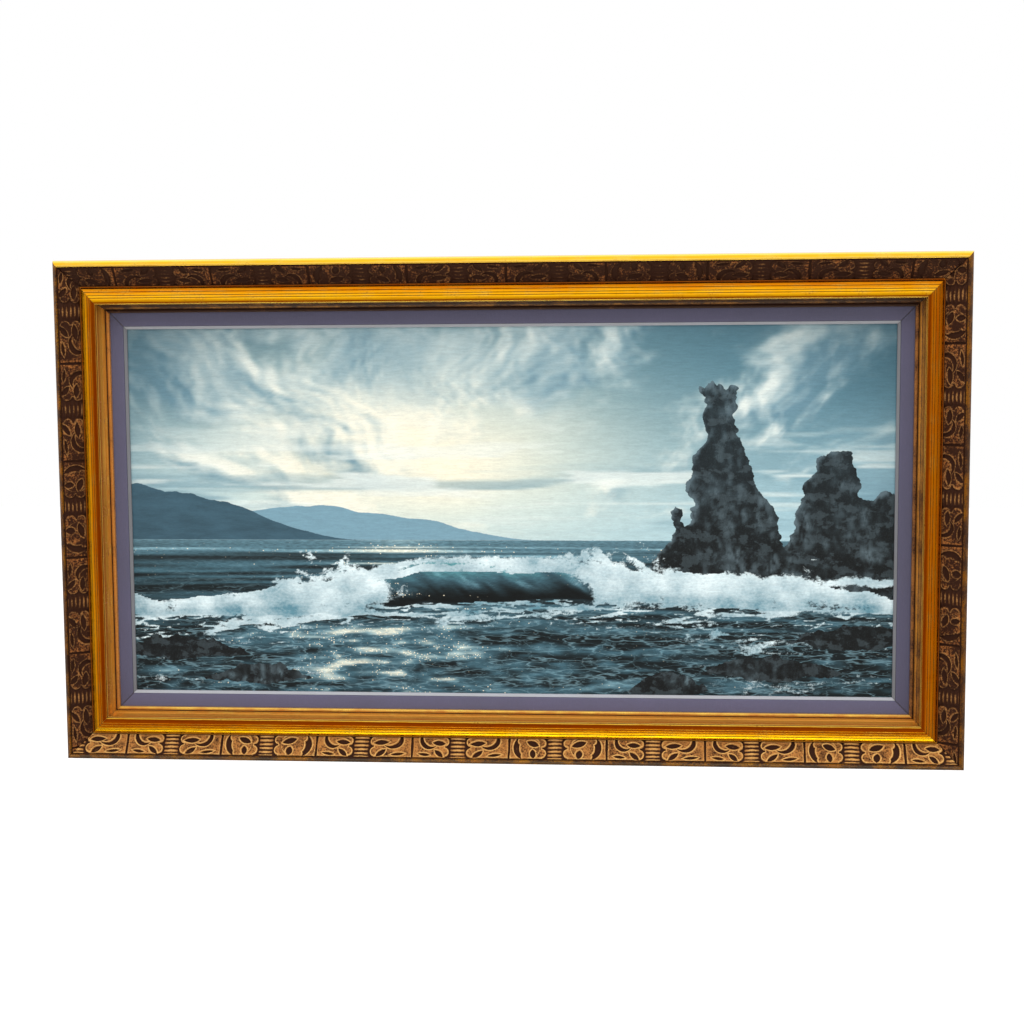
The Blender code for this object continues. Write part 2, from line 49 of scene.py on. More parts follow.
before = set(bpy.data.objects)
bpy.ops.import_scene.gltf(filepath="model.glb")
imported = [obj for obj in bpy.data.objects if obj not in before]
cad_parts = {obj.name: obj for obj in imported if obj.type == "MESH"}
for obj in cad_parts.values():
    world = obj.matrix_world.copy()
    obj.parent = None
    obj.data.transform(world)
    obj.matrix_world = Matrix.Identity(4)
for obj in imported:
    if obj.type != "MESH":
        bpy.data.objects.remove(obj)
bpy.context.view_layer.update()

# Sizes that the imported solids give: the sight opening inside the liner, and the canvas
SIDES = ("top", "right", "bottom", "left")
SIGHT_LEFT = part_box("liner_left_rail")[1].x
SIGHT_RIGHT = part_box("liner_right_rail")[0].x
SIGHT_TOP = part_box("liner_top_rail")[0].z
SIGHT_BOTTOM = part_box("liner_bottom_rail")[1].z
SIGHT_WIDTH = SIGHT_RIGHT - SIGHT_LEFT
SIGHT_HEIGHT = SIGHT_TOP - SIGHT_BOTTOM
SIGHT_CENTRE = np.array((0.0, 0.0, (SIGHT_TOP + SIGHT_BOTTOM) / 2))
CANVAS_LOW, CANVAS_HIGH = (np.array(corner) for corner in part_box("painted_canvas"))
CANVAS_FACE = -CANVAS_LOW[1]

# How the pieces sit in one another
FIT_GAP = 0.0003
LINER_OVERLAP = SIGHT_LEFT - CANVAS_LOW[0]
LINER_CLEARANCE = 0.0006
REBATE_OVERLAP = 0.008
REBATE_CLEARANCE = 0.0006
BACK_RECESS = 0.004

# The liner, from the sight edge outwards
SIGHT_EDGE = 0.003
BEVEL_WIDTH = 0.0044
BEVEL_RISE = 0.0024
LINER_FACE_WIDTH = 0.0256
LINER_RISE = 0.0027
LINER_SEAT = CANVAS_FACE + FIT_GAP
SIGHT_DEPTH = LINER_SEAT + SIGHT_EDGE
REBATE_WALL = LINER_FACE_WIDTH + REBATE_OVERLAP + REBATE_CLEARANCE

# The gilt moulding's members, from the liner outwards. The ogee bends at its knee and its brow,
# which lie at shares of its width, and each of its three parts bulges a little
LIP_WIDTH = 0.0048
BEAD_WIDTH = 0.0030
COVE_WIDTH = 0.0036
GROOVE_WIDTH = 0.0010
FILLET_WIDTH = 0.0019
OGEE_WIDTH = 0.0240
STEP_WIDTH = 0.0022
BAND_WIDTH = 0.0292
CREST_WIDTH = 0.0020
OUTER_LIP_WIDTH = 0.0088
KNEE_SHARE = 0.32
BROW_SHARE = 0.58
SIDE_TAPER = 0.0025
BACK_EASE = 0.0015
LIP_HEIGHT = 0.0099
BEAD_HEIGHT = 0.0166
COVE_HEIGHT = 0.0308
FILLET_HEIGHT = 0.0352
KNEE_HEIGHT = 0.0335
BROW_DROP = 0.0061
OGEE_BULGES = (0.00035, 0.0003, 0.0008)
STEP_HEIGHT = 0.0224
BAND_FLOOR_INNER = 0.0194
BAND_FLOOR_OUTER = 0.0392
CREST_HEIGHT = 0.0432
OUTER_LIP_HEIGHT = 0.0190

# Lines cut along the ogee: shares of its width from its inner edge, their depth and half width
INCISED_LINES = (0.30, 0.47, 0.70)
INCISED_DEPTH = 0.00035
INCISED_WIDTH = 0.00038

# The fine surface: distance between a section's points, and how unevenly hand finishing left it
SECTION_SPACING = 0.0003
STATION_SPACING = 0.030
HAND_WOBBLE = 0.00010
LINER_WOBBLE = 0.00003
CLOTH_WOBBLE = 0.00004
HOLLOW_REACH = 4
HOLLOW_FULL = 0.00025
HOLLOW_MOST = 1.5

# The carving, drawn 153 long and 33 wide for one unit: a leaf is its crescent's circle, the lobes
# cut from it, and its almonds. Circles are (along, across, radius), almonds (along, across,
# length, width, tilt in degrees)
PITCH = 0.153
RELIEF_FLOOR = 0.0006
RELIEF_SEAT = 0.0016
RELIEF_IN_CREST = 0.0010
RELIEF_IN_STEP = 0.0008
MITRE_LEAN = 0.010
DRAWN_LENGTH = 153.0
DRAWN_WIDTH = 33.0
FIRST_PANEL = 58.0
BARS = 28.0
BAR_SPACING = 6.0
TALL_LEAF = (
    (27.0, 14.5, 20.5),
    ((33.0, 15.0, 17.0), (19.5, 4.5, 6.2), (26.0, 28.5, 6.6)),
    ((37.5, 9.3, 21.0, 9.6, 20.0), (37.5, 25.0, 14.0, 9.4, 82.0)),
)
LOW_LEAF = (
    (26.5, 5.5, 14.6),
    ((32.0, 1.0, 14.4),),
    ((42.5, 10.2, 22.0, 8.4, 5.0), (43.0, 26.7, 18.5, 7.8, 38.0), (19.5, 28.2, 20.0, 5.0, 7.0)),
)
END_LOBES = ((7.6, 8.2, 6.6), (8.0, 24.2, 7.0))
END_STRAIGHT = 7.0
GROUND = 0.86
RECESS_FLOOR = 0.06
RECESS_SLOPE = 1.5
OUTLINE_RISE = 0.26
RIM_RISE = OUTLINE_RISE * 0.6
OUTLINE_WIDTH = 0.8
STIPPLE_RISE = 0.07
BARS_FLOOR = 0.10
BARS_LIFT = 0.25
BARS_RIDGE = 0.45
BARS_SWELL = 0.25
BARS_EDGE = 1.4
GROOVE_EDGES = (1.0, 2.2)
INNER_EDGES = (0.7, 2.2)
OUTER_EDGES = (0.0, 1.2)

# Where a dividing groove lies on each rail, from its middle and clockwise as the viewer sees it,
# and which unit of the repeat begins there
DIVIDERS = {
    "top": (0.0047, 3),
    "right": (0.0476, 2),
    "bottom": (-0.0046, 1),
    "left": (0.0825, 1),
}

# The turned over edge of the canvas behind its bars
CLOTH_THICKNESS = 0.0007
TURNOVER = 0.030
TURNOVER_BACK = 0.0043

BAND_START = (
    LINER_FACE_WIDTH + LIP_WIDTH + BEAD_WIDTH + COVE_WIDTH + 2 * GROOVE_WIDTH
    + FILLET_WIDTH + OGEE_WIDTH + STEP_WIDTH
)
BAND_END = BAND_START + BAND_WIDTH
BAND_RUN = complex(BAND_WIDTH, BAND_FLOOR_OUTER - BAND_FLOOR_INNER)
BAND_SLOPE = abs(BAND_RUN)
FRAME_EDGE = BAND_END + CREST_WIDTH + OUTER_LIP_WIDTH
BACK_EDGE = FRAME_EDGE - SIDE_TAPER

# The leaf's toning where no side changes it, on the crest, and on the lips by the liner, and the
# umber that the first lip has over the others
BASE_TONE = 0.22
CREST_TONE = 0.12
LIP_TONE = 0.62
FIRST_LIP_UMBER = 0.35

# For each side, painted light and shade for how the light falls there: how much deeper the leaf is
# toned on the ogee's outer and inner slope, how much umber-coloured shade lies on the crest, on the
# carving and on the lips by the liner, and how dark the liner and its bevel are
OUTER_SLOPE_LIGHT_AND_SHADE = {"top": 0.58, "right": 0.42, "bottom": -0.22, "left": -0.20}
INNER_SLOPE_LIGHT_AND_SHADE = {"top": 0.14, "right": 0.50, "bottom": 0.45, "left": 0.50}
CREST_LIGHT_AND_SHADE = {"top": -0.3, "right": 1.2, "bottom": 1.2, "left": 1.2}
CARVING_PAINTED_SHADE = {"top": 0.80, "right": 0.66, "bottom": 0.04, "left": 0.67}
LIP_LIGHT_AND_SHADE = {"top": 1.15, "right": 0.70, "bottom": -0.45, "left": 0.0}
LINER_SHADE = {"top": 0.80, "right": 0.74, "bottom": 1.0, "left": 0.80}
BEVEL_SHADE = {"top": 1.1, "right": 0.62, "bottom": 1.45, "left": 0.60}

# Textures: leaves of metal in a metre of moulding, light and dark tones of the woods, how finely
# their fibres are drawn along the three axes of a level piece, and the cells in which the sea
# may sparkle
LEAVES_PER_METRE = 11.6
FRAME_WOOD = ((0.46, 0.31, 0.17), (0.24, 0.14, 0.07))
PINE = ((0.60, 0.43, 0.25), (0.42, 0.26, 0.12))
RAIL_GRAIN = (7.0, 160.0, 160.0)
BAR_GRAIN = (6.0, 150.0, 150.0)
SPARK_CELLS = (260.0, 1.0, 380.0)

# The studio: half of the floor's width, the camera's place from the middle of the sight opening
# with its yaw, pitch and roll in degrees, the light's place and size, and the colours of the room
# that gloss mirrors and of the even light, from straight below at 0 to straight above at 1
FLOOR_HALF = 14.0
CAMERA_PLACE = (0.2219, -2.5994, 0.2480)
CAMERA_TURN = (-4.68, -5.43, -0.36)
KEY_PLACE = (0.3, -1.0, 1.45)
KEY_SIZE = (2.6, 1.2)
ROOM_BANDS = (
    (0.0, (3.1, 3.1, 2.2)),
    (0.045, (2.9, 2.9, 1.9)),
    (0.075, (0.45, 0.25, 0.1)),
    (0.15, (0.36, 0.14, 0.04)),
    (0.35, (0.24, 0.09, 0.03)),
    (0.54, (0.24, 0.09, 0.03)),
    (0.60, (0.55, 0.42, 0.25)),
    (0.69, (0.8, 0.7, 0.5)),
    (0.80, (1.25, 1.2, 1.05)),
    (0.875, (1.2, 1.1, 0.95)),
    (0.935, (0.75, 0.6, 0.42)),
    (1.0, (1.0, 0.95, 0.85)),
)
EVEN_BANDS = (
    (0.0, (0.10, 0.09, 0.08)),
    (0.40, (0.45, 0.44, 0.43)),
    (0.60, (0.85, 0.86, 0.87)),
    (0.80, (1.5, 1.5, 1.52)),
    (1.0, (2.0, 2.0, 2.05)),
)

# The painted picture: the mesh's columns and rows with a row's usual height, the horizon from the
# picture's middle with the heights of sky and sea, the glow's place, sea stacks as (middle, half
# width of the foot and the top, top, lean, seed), boulders as (middle, top, half width, seed)
PICTURE_COLUMNS = 446
PICTURE_ROWS = 214
ROW_HEIGHT = 0.0027
HORIZON = -0.045
SKY_HEIGHT = 0.335
SEA_DEPTH = 0.244
GLOW_PLACE = (-0.17, 0.085)
STACKS = (
    (0.360, 0.110, 0.018, 0.205, -0.030, 410),
    (0.492, 0.088, 0.030, 0.100, 0.022, 430),
    (0.262, 0.032, 0.008, 0.012, 0.010, 450),
    (0.586, 0.070, 0.050, 0.035, 0.000, 470),
)
BOULDERS = (
    (-0.53, -0.196, 0.120, 510),
    (-0.40, -0.236, 0.090, 520),
    (0.56, -0.172, 0.130, 530),
    (0.42, -0.222, 0.120, 540),
    (0.25, -0.252, 0.070, 550),
)
OUTWARDS = {
    "top": np.array((0.0, 0.0, 1.0)),
    "right": np.array((1.0, 0.0, 0.0)),
    "bottom": np.array((0.0, 0.0, -1.0)),
    "left": np.array((-1.0, 0.0, 0.0)),
}
TO_VIEWER = np.array((0.0, -1.0, 0.0))


def linear(red, green, blue):
    """A display colour given from 0 to 255 as a linear one: the sRGB curve's inverse."""
    shares = np.array((red, green, blue), float) / 255
    return tuple(np.where(shares <= 0.04045, shares / 12.92, ((shares + 0.055) / 1.055) ** 2.4))


def colour_property(name, description, colour):
    """A colour that the panel shows, given as a display colour from 0 to 255."""
    return FloatVectorProperty(
        name=name, description=description, subtype="COLOR", size=3, min=0.0, max=1.0,
        default=linear(*colour),
    )


class GildingSettings(bpy.types.PropertyGroup):
    """Sizes of the carving and colours of the leaf."""

    relief: FloatProperty(
        name="Relief", description="Height of the carving over its recesses",
        default=0.0026, min=0.0005, max=0.0035, subtype="DISTANCE", unit="LENGTH",
    )
    carving_step: FloatProperty(
        name="Carving step", description="Distance between the carved surface's points",
        default=0.00079, min=0.0007, max=0.005, subtype="DISTANCE", unit="LENGTH",
    )
    leaf: colour_property("Leaf", "Metal leaf where it is whole", (255, 206, 22))
    # The toned leaf also paints the ogee's shade on the darker sides
    deep_leaf: colour_property("Toned leaf", "Metal leaf under its toning", (226, 124, 8))
    carved_leaf: colour_property("Carved leaf", "Metal leaf on the carved band", (192, 130, 66))
    carved_edge: colour_property("Carved edges", "Rubbed outlines of the carving", (244, 196, 118))
    dull_leaf: colour_property("Dull leaf", "Brown gold next to the liner", (214, 142, 62))
    rubbed: colour_property("Rubbed leaf", "Leaf polished on edges by handling", (255, 216, 96))
    # Bole and umber also paint the shade on the darker sides' crest, lips and carving
    bole: colour_property("Bole", "Red clay where the leaf has worn off", (132, 50, 16))
    umber: colour_property("Umber", "Dark wash left in the hollows", (50, 23, 7))


class LinerSettings(bpy.types.PropertyGroup):
    """Colours of the liner."""

    cloth: colour_property("Cloth", "Flat face of the liner", (98, 95, 121))
    bevel: colour_property("Bevel", "Pale slip at the sight edge", (140, 142, 148))
    wood: colour_property("Wood", "Bare wood behind", (196, 160, 112))


class PictureSettings(bpy.types.PropertyGroup):
    """Colours of the painted sea, sky and rocks."""

    high_sky: colour_property("High sky", "Sky at the top", (74, 116, 132))
    low_sky: colour_property("Low sky", "Sky over the horizon", (160, 194, 203))
    glow: colour_property("Glow", "Light behind the clouds", (252, 240, 210))
    cloud_shade: colour_property("Cloud shade", "Undersides of the clouds", (104, 140, 154))
    cloud_light: colour_property("Cloud light", "Lit edges of the clouds", (226, 232, 224))
    shore: colour_property("Shore", "Distant land", (88, 130, 150))
    sea_deep: colour_property("Deep sea", "Troughs of the waves", (20, 32, 36))
    sea_middle: colour_property("Sea", "Backs of the waves", (58, 92, 104))
    sea_light: colour_property("Sea light", "Waves that mirror the sky", (140, 182, 194))
    wave: colour_property("Wave", "Light through a wave's crest", (84, 150, 154))
    foam: colour_property("Foam", "Broken water", (226, 240, 240))
    foam_shade: colour_property("Foam shade", "Broken water in shade", (92, 138, 152))
    rock: colour_property("Rock", "Rocks in shade", (20, 27, 30))
    rock_light: colour_property("Rock light", "Rocks where the light grazes them", (88, 104, 110))
    seed: IntProperty(
        name="Seed", description="Draws other clouds and waves", default=11, min=0, max=9999,
    )


class StudioSettings(bpy.types.PropertyGroup):
    """The floor and the light."""

    floor_drop: FloatProperty(
        name="Floor drop", description="Height of the frame's lower edge over the floor",
        default=0.9, min=0.1, max=3.0, subtype="DISTANCE", unit="LENGTH",
    )
    lens: FloatProperty(
        name="Lens", description="Focal length of the camera",
        default=58.78, min=20.0, max=200.0, subtype="DISTANCE_CAMERA", unit="CAMERA",
    )
    soft_light: FloatProperty(
        name="Soft light", description="Strength of the even light all round",
        default=0.8, min=0.0, max=5.0,
    )
    key_light: FloatProperty(
        name="Key light", description="Power of the soft light above and in front, in watts",
        default=24.0, min=0.0, max=2000.0,
    )


def smooth(value, low, high):
    """Rises from 0 at low to 1 at high as share squared times three less twice the share."""
    share = np.clip((value - low) / (high - low), 0.0, 1.0)
    return share * share * (3 - 2 * share)


def bell(value, middle, width):
    """A bell curve: 1 at its middle and 1 / e at its width to each side."""
    return np.exp(-((value - middle) / width) ** 2)


def blend(first, second, share):
    """Mixes two colours or arrays of colours by a share for each point."""
    share = np.asarray(share)[..., None]
    return np.asarray(first) * (1 - share) + np.asarray(second) * share


def value_noise(x, y, seed):
    """Noise from -1 to 1: random values on a square lattice, blended smoothly between its points."""
    size = 512
    table = np.random.default_rng(seed).uniform(-1.0, 1.0, (size, size))
    column = np.floor(x).astype(int)
    row = np.floor(y).astype(int)
    across = smooth(x - column, 0.0, 1.0)
    up = smooth(y - row, 0.0, 1.0)
    low, high = (
        table[line % size, column % size] * (1 - across) + table[line % size, (column + 1) % size] * across
        for line in (row, row + 1)
    )
    return low * (1 - up) + high * up


def fractal_noise(x, y, seed, octaves=5, gain=0.5):
    """Sum of noises, each twice as fine and gain times as strong as the last, over their total."""
    total = np.zeros(np.broadcast(x, y).shape)
    strength = 1.0
    weights = 0.0
    for octave in range(octaves):
        scale = 2.0 ** octave
        total += strength * value_noise(x * scale + 7.3 * octave, y * scale - 3.9 * octave, seed + octave)
        weights += strength
        strength *= gain
    return total / weights * 1.6


def half_opening(side):
    """Half of the sight opening's length along one side."""
    return (SIGHT_WIDTH if side in ("top", "bottom") else SIGHT_HEIGHT) / 2


def to_world(side, section, along):
    """Places: the side's sight edge, plus section outwards and to the viewer, plus along it."""
    out = OUTWARDS[side]
    reach = (SIGHT_HEIGHT if side in ("top", "bottom") else SIGHT_WIDTH) / 2
    direction = np.cross(out, TO_VIEWER)
    section, along = np.broadcast_arrays(section, along)
    return (
        SIGHT_CENTRE + out * reach + section.real[..., None] * out
        + section.imag[..., None] * TO_VIEWER + along[..., None] * direction
    )


def arc(start, end, bulge, count):
    """Points after start of a circle through start and end whose middle bulges to the left."""
    chord = end - start
    half = abs(chord) / 2
    turn = math.copysign(1, bulge)
    radius = (half * half + bulge * bulge) / (2 * abs(bulge))
    centre = (start + end) / 2 - 1j * chord / abs(chord) * turn * (radius - abs(bulge))
    sweep = -2 * math.asin(min(1.0, half / radius)) * turn
    return list(centre + (start - centre) * np.exp(1j * sweep * np.arange(1, count + 1) / count))


def even_points(points, spacing):
    """The same line with even spacing, its corners eased by a mean over five neighbours."""
    points = np.array(points)
    lengths = np.concatenate([[0.0], np.cumsum(np.abs(np.diff(points)))])
    count = max(2, round(lengths[-1] / spacing)) + 1
    places = np.linspace(0.0, lengths[-1], count)
    line = np.interp(places, lengths, points.real) + 1j * np.interp(places, lengths, points.imag)
    kernel = np.array((1, 2, 3, 2, 1)) / 9
    padded = np.concatenate([[line[0]] * 2, line, [line[-1]] * 2])
    eased = np.convolve(padded, kernel, mode="valid")
    eased[0] = line[0]
    eased[-1] = line[-1]
    return eased


def at(out, up):
    """A point of a section: out from the sight edge, and up in front of the sight edge's depth."""
    return complex(out, SIGHT_DEPTH + up)


def inner_members():
    """The moulding's front from the liner to the carved band."""
    out = LINER_FACE_WIDTH
    lip_foot = LIP_HEIGHT - LIP_WIDTH / 3
    points = [at(out, LINER_RISE + FIT_GAP), at(out, lip_foot)]
    points += arc(points[-1], at(out + LIP_WIDTH, LIP_HEIGHT - LIP_WIDTH / 4), LIP_WIDTH / 4, 12)
    out += LIP_WIDTH
    points.append(at(out + GROOVE_WIDTH / 2, lip_foot))
    out += GROOVE_WIDTH
    points.append(at(out, LIP_HEIGHT))
    points += arc(points[-1], at(out + BEAD_WIDTH, BEAD_HEIGHT), BEAD_WIDTH / 3, 12)
    out += BEAD_WIDTH
    points += arc(points[-1], at(out + COVE_WIDTH, COVE_HEIGHT), -COVE_WIDTH / 3, 16)
    out += COVE_WIDTH
    points.append(at(out + GROOVE_WIDTH, COVE_HEIGHT))
    out += GROOVE_WIDTH
    points.append(at(out, FILLET_HEIGHT - GROOVE_WIDTH / 2))
    points.append(at(out + FILLET_WIDTH, FILLET_HEIGHT))
    out += FILLET_WIDTH
    knee = at(out + OGEE_WIDTH * KNEE_SHARE, KNEE_HEIGHT)
    brow = knee + complex(OGEE_WIDTH * BROW_SHARE, -BROW_DROP)
    ogee_end = at(out + OGEE_WIDTH, STEP_HEIGHT - STEP_WIDTH / 2)
    for end, bulge, count in zip((knee, brow, ogee_end), OGEE_BULGES, (10, 14, 8)):
        points += arc(points[-1], end, bulge, count)
    points.append(at(out + OGEE_WIDTH + STEP_WIDTH / 4, STEP_HEIGHT))
    points.append(at(out + OGEE_WIDTH + STEP_WIDTH, STEP_HEIGHT))
    line = even_points(points, SECTION_SPACING)
    share = (line.real - out) / OGEE_WIDTH
    for place in INCISED_LINES:
        off_line = (share - place) * OGEE_WIDTH / INCISED_WIDTH
        line = line - 1j * INCISED_DEPTH * np.exp(-off_line ** 2) * (share > 0.05)
    return line


def outer_members():
    """The moulding's front from the carved band over the crest to the outer side."""
    points = [at(BAND_END, BAND_FLOOR_OUTER), at(BAND_END, CREST_HEIGHT - CREST_WIDTH / 3)]
    crest_end = at(BAND_END + CREST_WIDTH, CREST_HEIGHT - CREST_WIDTH / 6)
    points += arc(points[-1], crest_end, CREST_WIDTH / 4, 8)
    points += arc(points[-1], at(FRAME_EDGE, OUTER_LIP_HEIGHT), OUTER_LIP_WIDTH / 3, 24)
    points.append(BACK_EDGE + 1j * BACK_EASE)
    return even_points(points, SECTION_SPACING * 2)


def moulding_section():
    """The moulding's closed section, with the number of front points before its flat back."""
    front = np.concatenate([inner_members(), [at(BAND_START, BAND_FLOOR_INNER)], outer_members()])
    back = np.array([
        BACK_EDGE - BACK_EASE,
        REBATE_WALL + BACK_EASE / 3,
        REBATE_WALL + 1j * BACK_EASE / 3,
        at(REBATE_WALL, LINER_RISE + FIT_GAP),
    ])
    return np.concatenate([front, back]), len(front)


def liner_section():
    """The liner's closed section, its bevel and outer edge eased, and how many points are bevel."""
    outer = REBATE_WALL - REBATE_CLEARANCE
    step = LINER_OVERLAP + LINER_CLEARANCE
    bevel = even_points([
        1j * LINER_SEAT,
        1j * SIGHT_DEPTH,
        at(BEVEL_WIDTH, BEVEL_RISE),
        at(BEVEL_WIDTH, BEVEL_RISE / 2),
        at(BEVEL_WIDTH + FIT_GAP, BEVEL_RISE / 2),
    ], SECTION_SPACING)
    face = even_points([
        at(BEVEL_WIDTH + 2 * FIT_GAP, BEVEL_RISE / 2),
        at(BEVEL_WIDTH + 2 * FIT_GAP, LINER_RISE),
        at(outer, LINER_RISE),
        at(outer, 0.0),
    ], SECTION_SPACING * 2)
    back = np.array([outer + 1j * BACK_RECESS, step + 1j * BACK_RECESS, step + 1j * LINER_SEAT])
    return np.concatenate([bevel, face, back]), len(bevel), len(bevel) + len(face)


def hollowness(section):
    """How far the mean of a point's neighbours stands in front of it, over the full depth."""
    ahead = np.roll(section, -HOLLOW_REACH)
    behind = np.roll(section, HOLLOW_REACH)
    tangent = ahead - behind
    normal = 1j * tangent / np.maximum(np.abs(tangent), 1e-9)
    lift = ((ahead + behind) / 2 - section) * np.conj(normal)
    return np.clip(lift.real / HOLLOW_FULL, -HOLLOW_MOST, HOLLOW_MOST)


def grid_faces(index):
    """Quads between the neighbours of a grid of point numbers."""
    corners = (index[:-1, :-1], index[1:, :-1], index[1:, 1:], index[:-1, 1:])
    return np.stack(corners, -1).reshape(-1, 4)


def closed_slab(top, below):
    """Points and faces of a closed sheet: a grid of points over the two edges of its underside."""
    rows, columns = top.shape[:2]
    upper = np.arange(rows * columns).reshape(rows, columns)
    lower = rows * columns + np.arange(rows * 2).reshape(rows, 2)
    walls = [np.stack([upper[:, edge], lower[:, edge]], 1) for edge in (0, -1)]
    quads = np.concatenate([grid_faces(index) for index in (upper, *walls, lower)])
    ends = [[*upper[row].tolist(), int(lower[row, 1]), int(lower[row, 0])] for row in (0, -1)]
    points = np.concatenate([top.reshape(-1, 3), below.reshape(-1, 3)])
    return points, quads.tolist() + ends


def make_piece(name, points, faces, materials, slot, nodes):
    """Makes one closed mesh with its faces pointing outwards, and hangs it on the frame's body."""
    mesh = bpy.data.meshes.new(name)
    mesh.from_pydata(points.reshape(-1, 3), [], faces)
    shape = bmesh.new()
    shape.from_mesh(mesh)
    bmesh.ops.recalc_face_normals(shape, faces=shape.faces)
    shape.to_mesh(mesh)
    shape.free()
    for material in materials:
        mesh.materials.append(material)
    piece = bpy.data.objects.new(name, mesh)
    bpy.context.scene.collection.objects.link(piece)
    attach(piece, "root")
    if nodes:
        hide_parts(*nodes)
    return piece


def store(piece, name, values, spare=0.0):
    """Keeps a number, or a vector along a third axis, for each point; spare fills up the rest."""
    single = values.ndim < 3
    filled = np.full(len(piece.data.vertices) * (1 if single else 3), spare, np.float32)
    filled[:values.size] = values.ravel()
    attribute = piece.data.attributes.new(name, "FLOAT" if single else "FLOAT_VECTOR", "POINT")
    attribute.data.foreach_set("value" if single else "vector", filled)


def shade(piece, sharp_angle):
    """Smooth shading, with an edge where two faces meet at more than the angle in degrees."""
    piece.data.shade_smooth()
    piece.data.set_sharp_from_angle(angle=math.radians(sharp_angle))


def swept_rail(name, side, section, wobble, materials, slot, nodes):
    """A closed moulding: the section carried along its side, its ends in the mitre planes.

    A point at a distance out from the sight edge reaches half the opening plus out each way, so
    stations are shares of that reach, and both ends are closed by one face.
    """
    columns = len(section)
    rows = max(2, round(2 * half_opening(side) / STATION_SPACING))
    shares = np.linspace(-1.0, 1.0, rows)[:, None]
    around = np.concatenate([[0.0], np.cumsum(np.abs(np.diff(section)))])
    along = shares * (half_opening(side) + section.real - FIT_GAP / 2)
    lift = value_noise(along * 14 + 31, around[None, :] * 90, 5) * wobble * (1 - shares ** 8)
    points = to_world(side, section[None, :] + 1j * lift, along)
    index = np.arange(rows * columns).reshape(rows, columns)
    ring = grid_faces(np.hstack([index, index[:, :1]]))
    faces = [*ring.tolist(), *index[[0, -1]].tolist()]
    piece = make_piece(name, points, faces, materials, slot, nodes)
    store(piece, "flow", np.stack(np.broadcast_arrays(along, around, float(SIDES.index(side))), -1))
    return piece, ring


def set_face_materials(piece, ring, columns, indices):
    """Gives each strip of a swept rail its material, by the section point that it starts from."""
    strip = ring[:, 0] % columns
    chosen = np.full(len(piece.data.polygons), indices.max(), np.int32)
    chosen[:len(ring)] = indices[strip]
    piece.data.polygons.foreach_set("material_index", chosen)


def circle(t, v, shape):
    """Distance outside a circle, negative inside it."""
    t_centre, v_centre, radius = shape
    return np.hypot(t - t_centre, v - v_centre) - radius


def almond(t, v, shape):
    """Distance outside an almond, where two equal circles overlap, negative inside it."""
    t_centre, v_centre, length, width, tilt = shape
    turn = math.radians(tilt)
    along = (t - t_centre) * math.cos(turn) + (v - v_centre) * math.sin(turn)
    across = (v - v_centre) * math.cos(turn) - (t - t_centre) * math.sin(turn)
    radius = (length * length + width * width) / (4 * width)
    return np.hypot(along, np.abs(across) + radius - width / 2) - radius


def nearest(distances):
    """Distance outside the union of several shapes."""
    return np.minimum.reduce(distances)


def leaf_recesses(t, v, crescent, lobes, almonds):
    """Distance outside the recesses of one leaf panel, t from its dividing groove.

    A tall panel has a crescent over its whole width and two almonds; a low one has a short
    crescent, two almonds and a lying lens. A crescent is a circle less round lobes.
    """
    off_lobes = nearest([circle(t, v, shape) for shape in lobes])
    crescent = np.maximum(circle(t, v, crescent), -off_lobes)
    return nearest([crescent] + [almond(t, v, shape) for shape in almonds])


def panel_end(t, v, length):
    """Distance outside a panel whose far end has two round lobes."""
    lobes = [circle(t, v, (length + 1 - inset, across, radius)) for inset, across, radius in END_LOBES]
    return nearest([t - (length + 1 - END_STRAIGHT)] + lobes)


def carving(stick, across):
    """Height of the carving as a share of its relief, with masks of its outlines and its ground.

    The stick repeats every three units. A unit is a groove, a leaf panel, a block of bars that
    run along the rail, and the panel's mirror image, which is a little longer. A thin outline
    stands round each recess, and the leaves' ground is finely stippled.
    """
    unit = np.floor(stick / PITCH)
    hand = fractal_noise(stick * 60, across * 60 + unit, 41, 2) * 0.5
    level = across / BAND_SLOPE * DRAWN_WIDTH
    t = (stick / PITCH - unit) * DRAWN_LENGTH + hand
    v = level + hand * 0.7
    back = DRAWN_LENGTH - t
    second_panel = DRAWN_LENGTH - FIRST_PANEL - BARS
    bars_middle = FIRST_PANEL + BARS / 2
    from_groove = np.where(t < bars_middle, t, back * FIRST_PANEL / second_panel)
    recesses = np.where(
        unit % 3 == 1, leaf_recesses(from_groove, v, *TALL_LEAF), leaf_recesses(from_groove, v, *LOW_LEAF)
    )
    recessed = smooth(-recesses, 0.0, RECESS_SLOPE)
    outline = bell(recesses, OUTLINE_WIDTH, OUTLINE_WIDTH)
    stipple = value_noise(stick * 900, across * 900, 17) * (1 - recessed) * (1 - outline)
    leaves = GROUND - (GROUND - RECESS_FLOOR) * recessed + OUTLINE_RISE * outline + STIPPLE_RISE * stipple
    middle = np.clip(1 - np.abs(t - bars_middle) / (BARS / 2), 0.0, 1.0)
    wave = 0.5 - 0.5 * np.cos(2 * math.pi * v / BAR_SPACING)
    bars = BARS_FLOOR + (BARS_LIFT + BARS_RIDGE * wave) * smooth(middle, 0.0, 0.35)
    bars += BARS_SWELL * smooth(middle, 0.5, 1.0)
    off_panels = nearest([panel_end(t, v, FIRST_PANEL), panel_end(back, v, second_panel)])
    in_bars = smooth(off_panels, 0.0, BARS_EDGE)
    rim = bell(off_panels, -OUTLINE_WIDTH, OUTLINE_WIDTH)
    height = leaves + RIM_RISE * rim * (1 - recessed)
    height = height + (bars - height) * in_bars
    grooved = smooth(nearest([t, back]), *GROOVE_EDGES)
    edges = smooth(level, *INNER_EDGES) * smooth(DRAWN_WIDTH - level, *OUTER_EDGES)
    gold = np.maximum(outline, rim) * (1 - in_bars) + in_bars * wave * smooth(middle, 0.15, 0.8)
    ground = np.clip((1 - recessed) * (1 - in_bars) * grooved * edges, 0.0, 1.0)
    return height * grooved * edges, gold * grooved * edges, ground


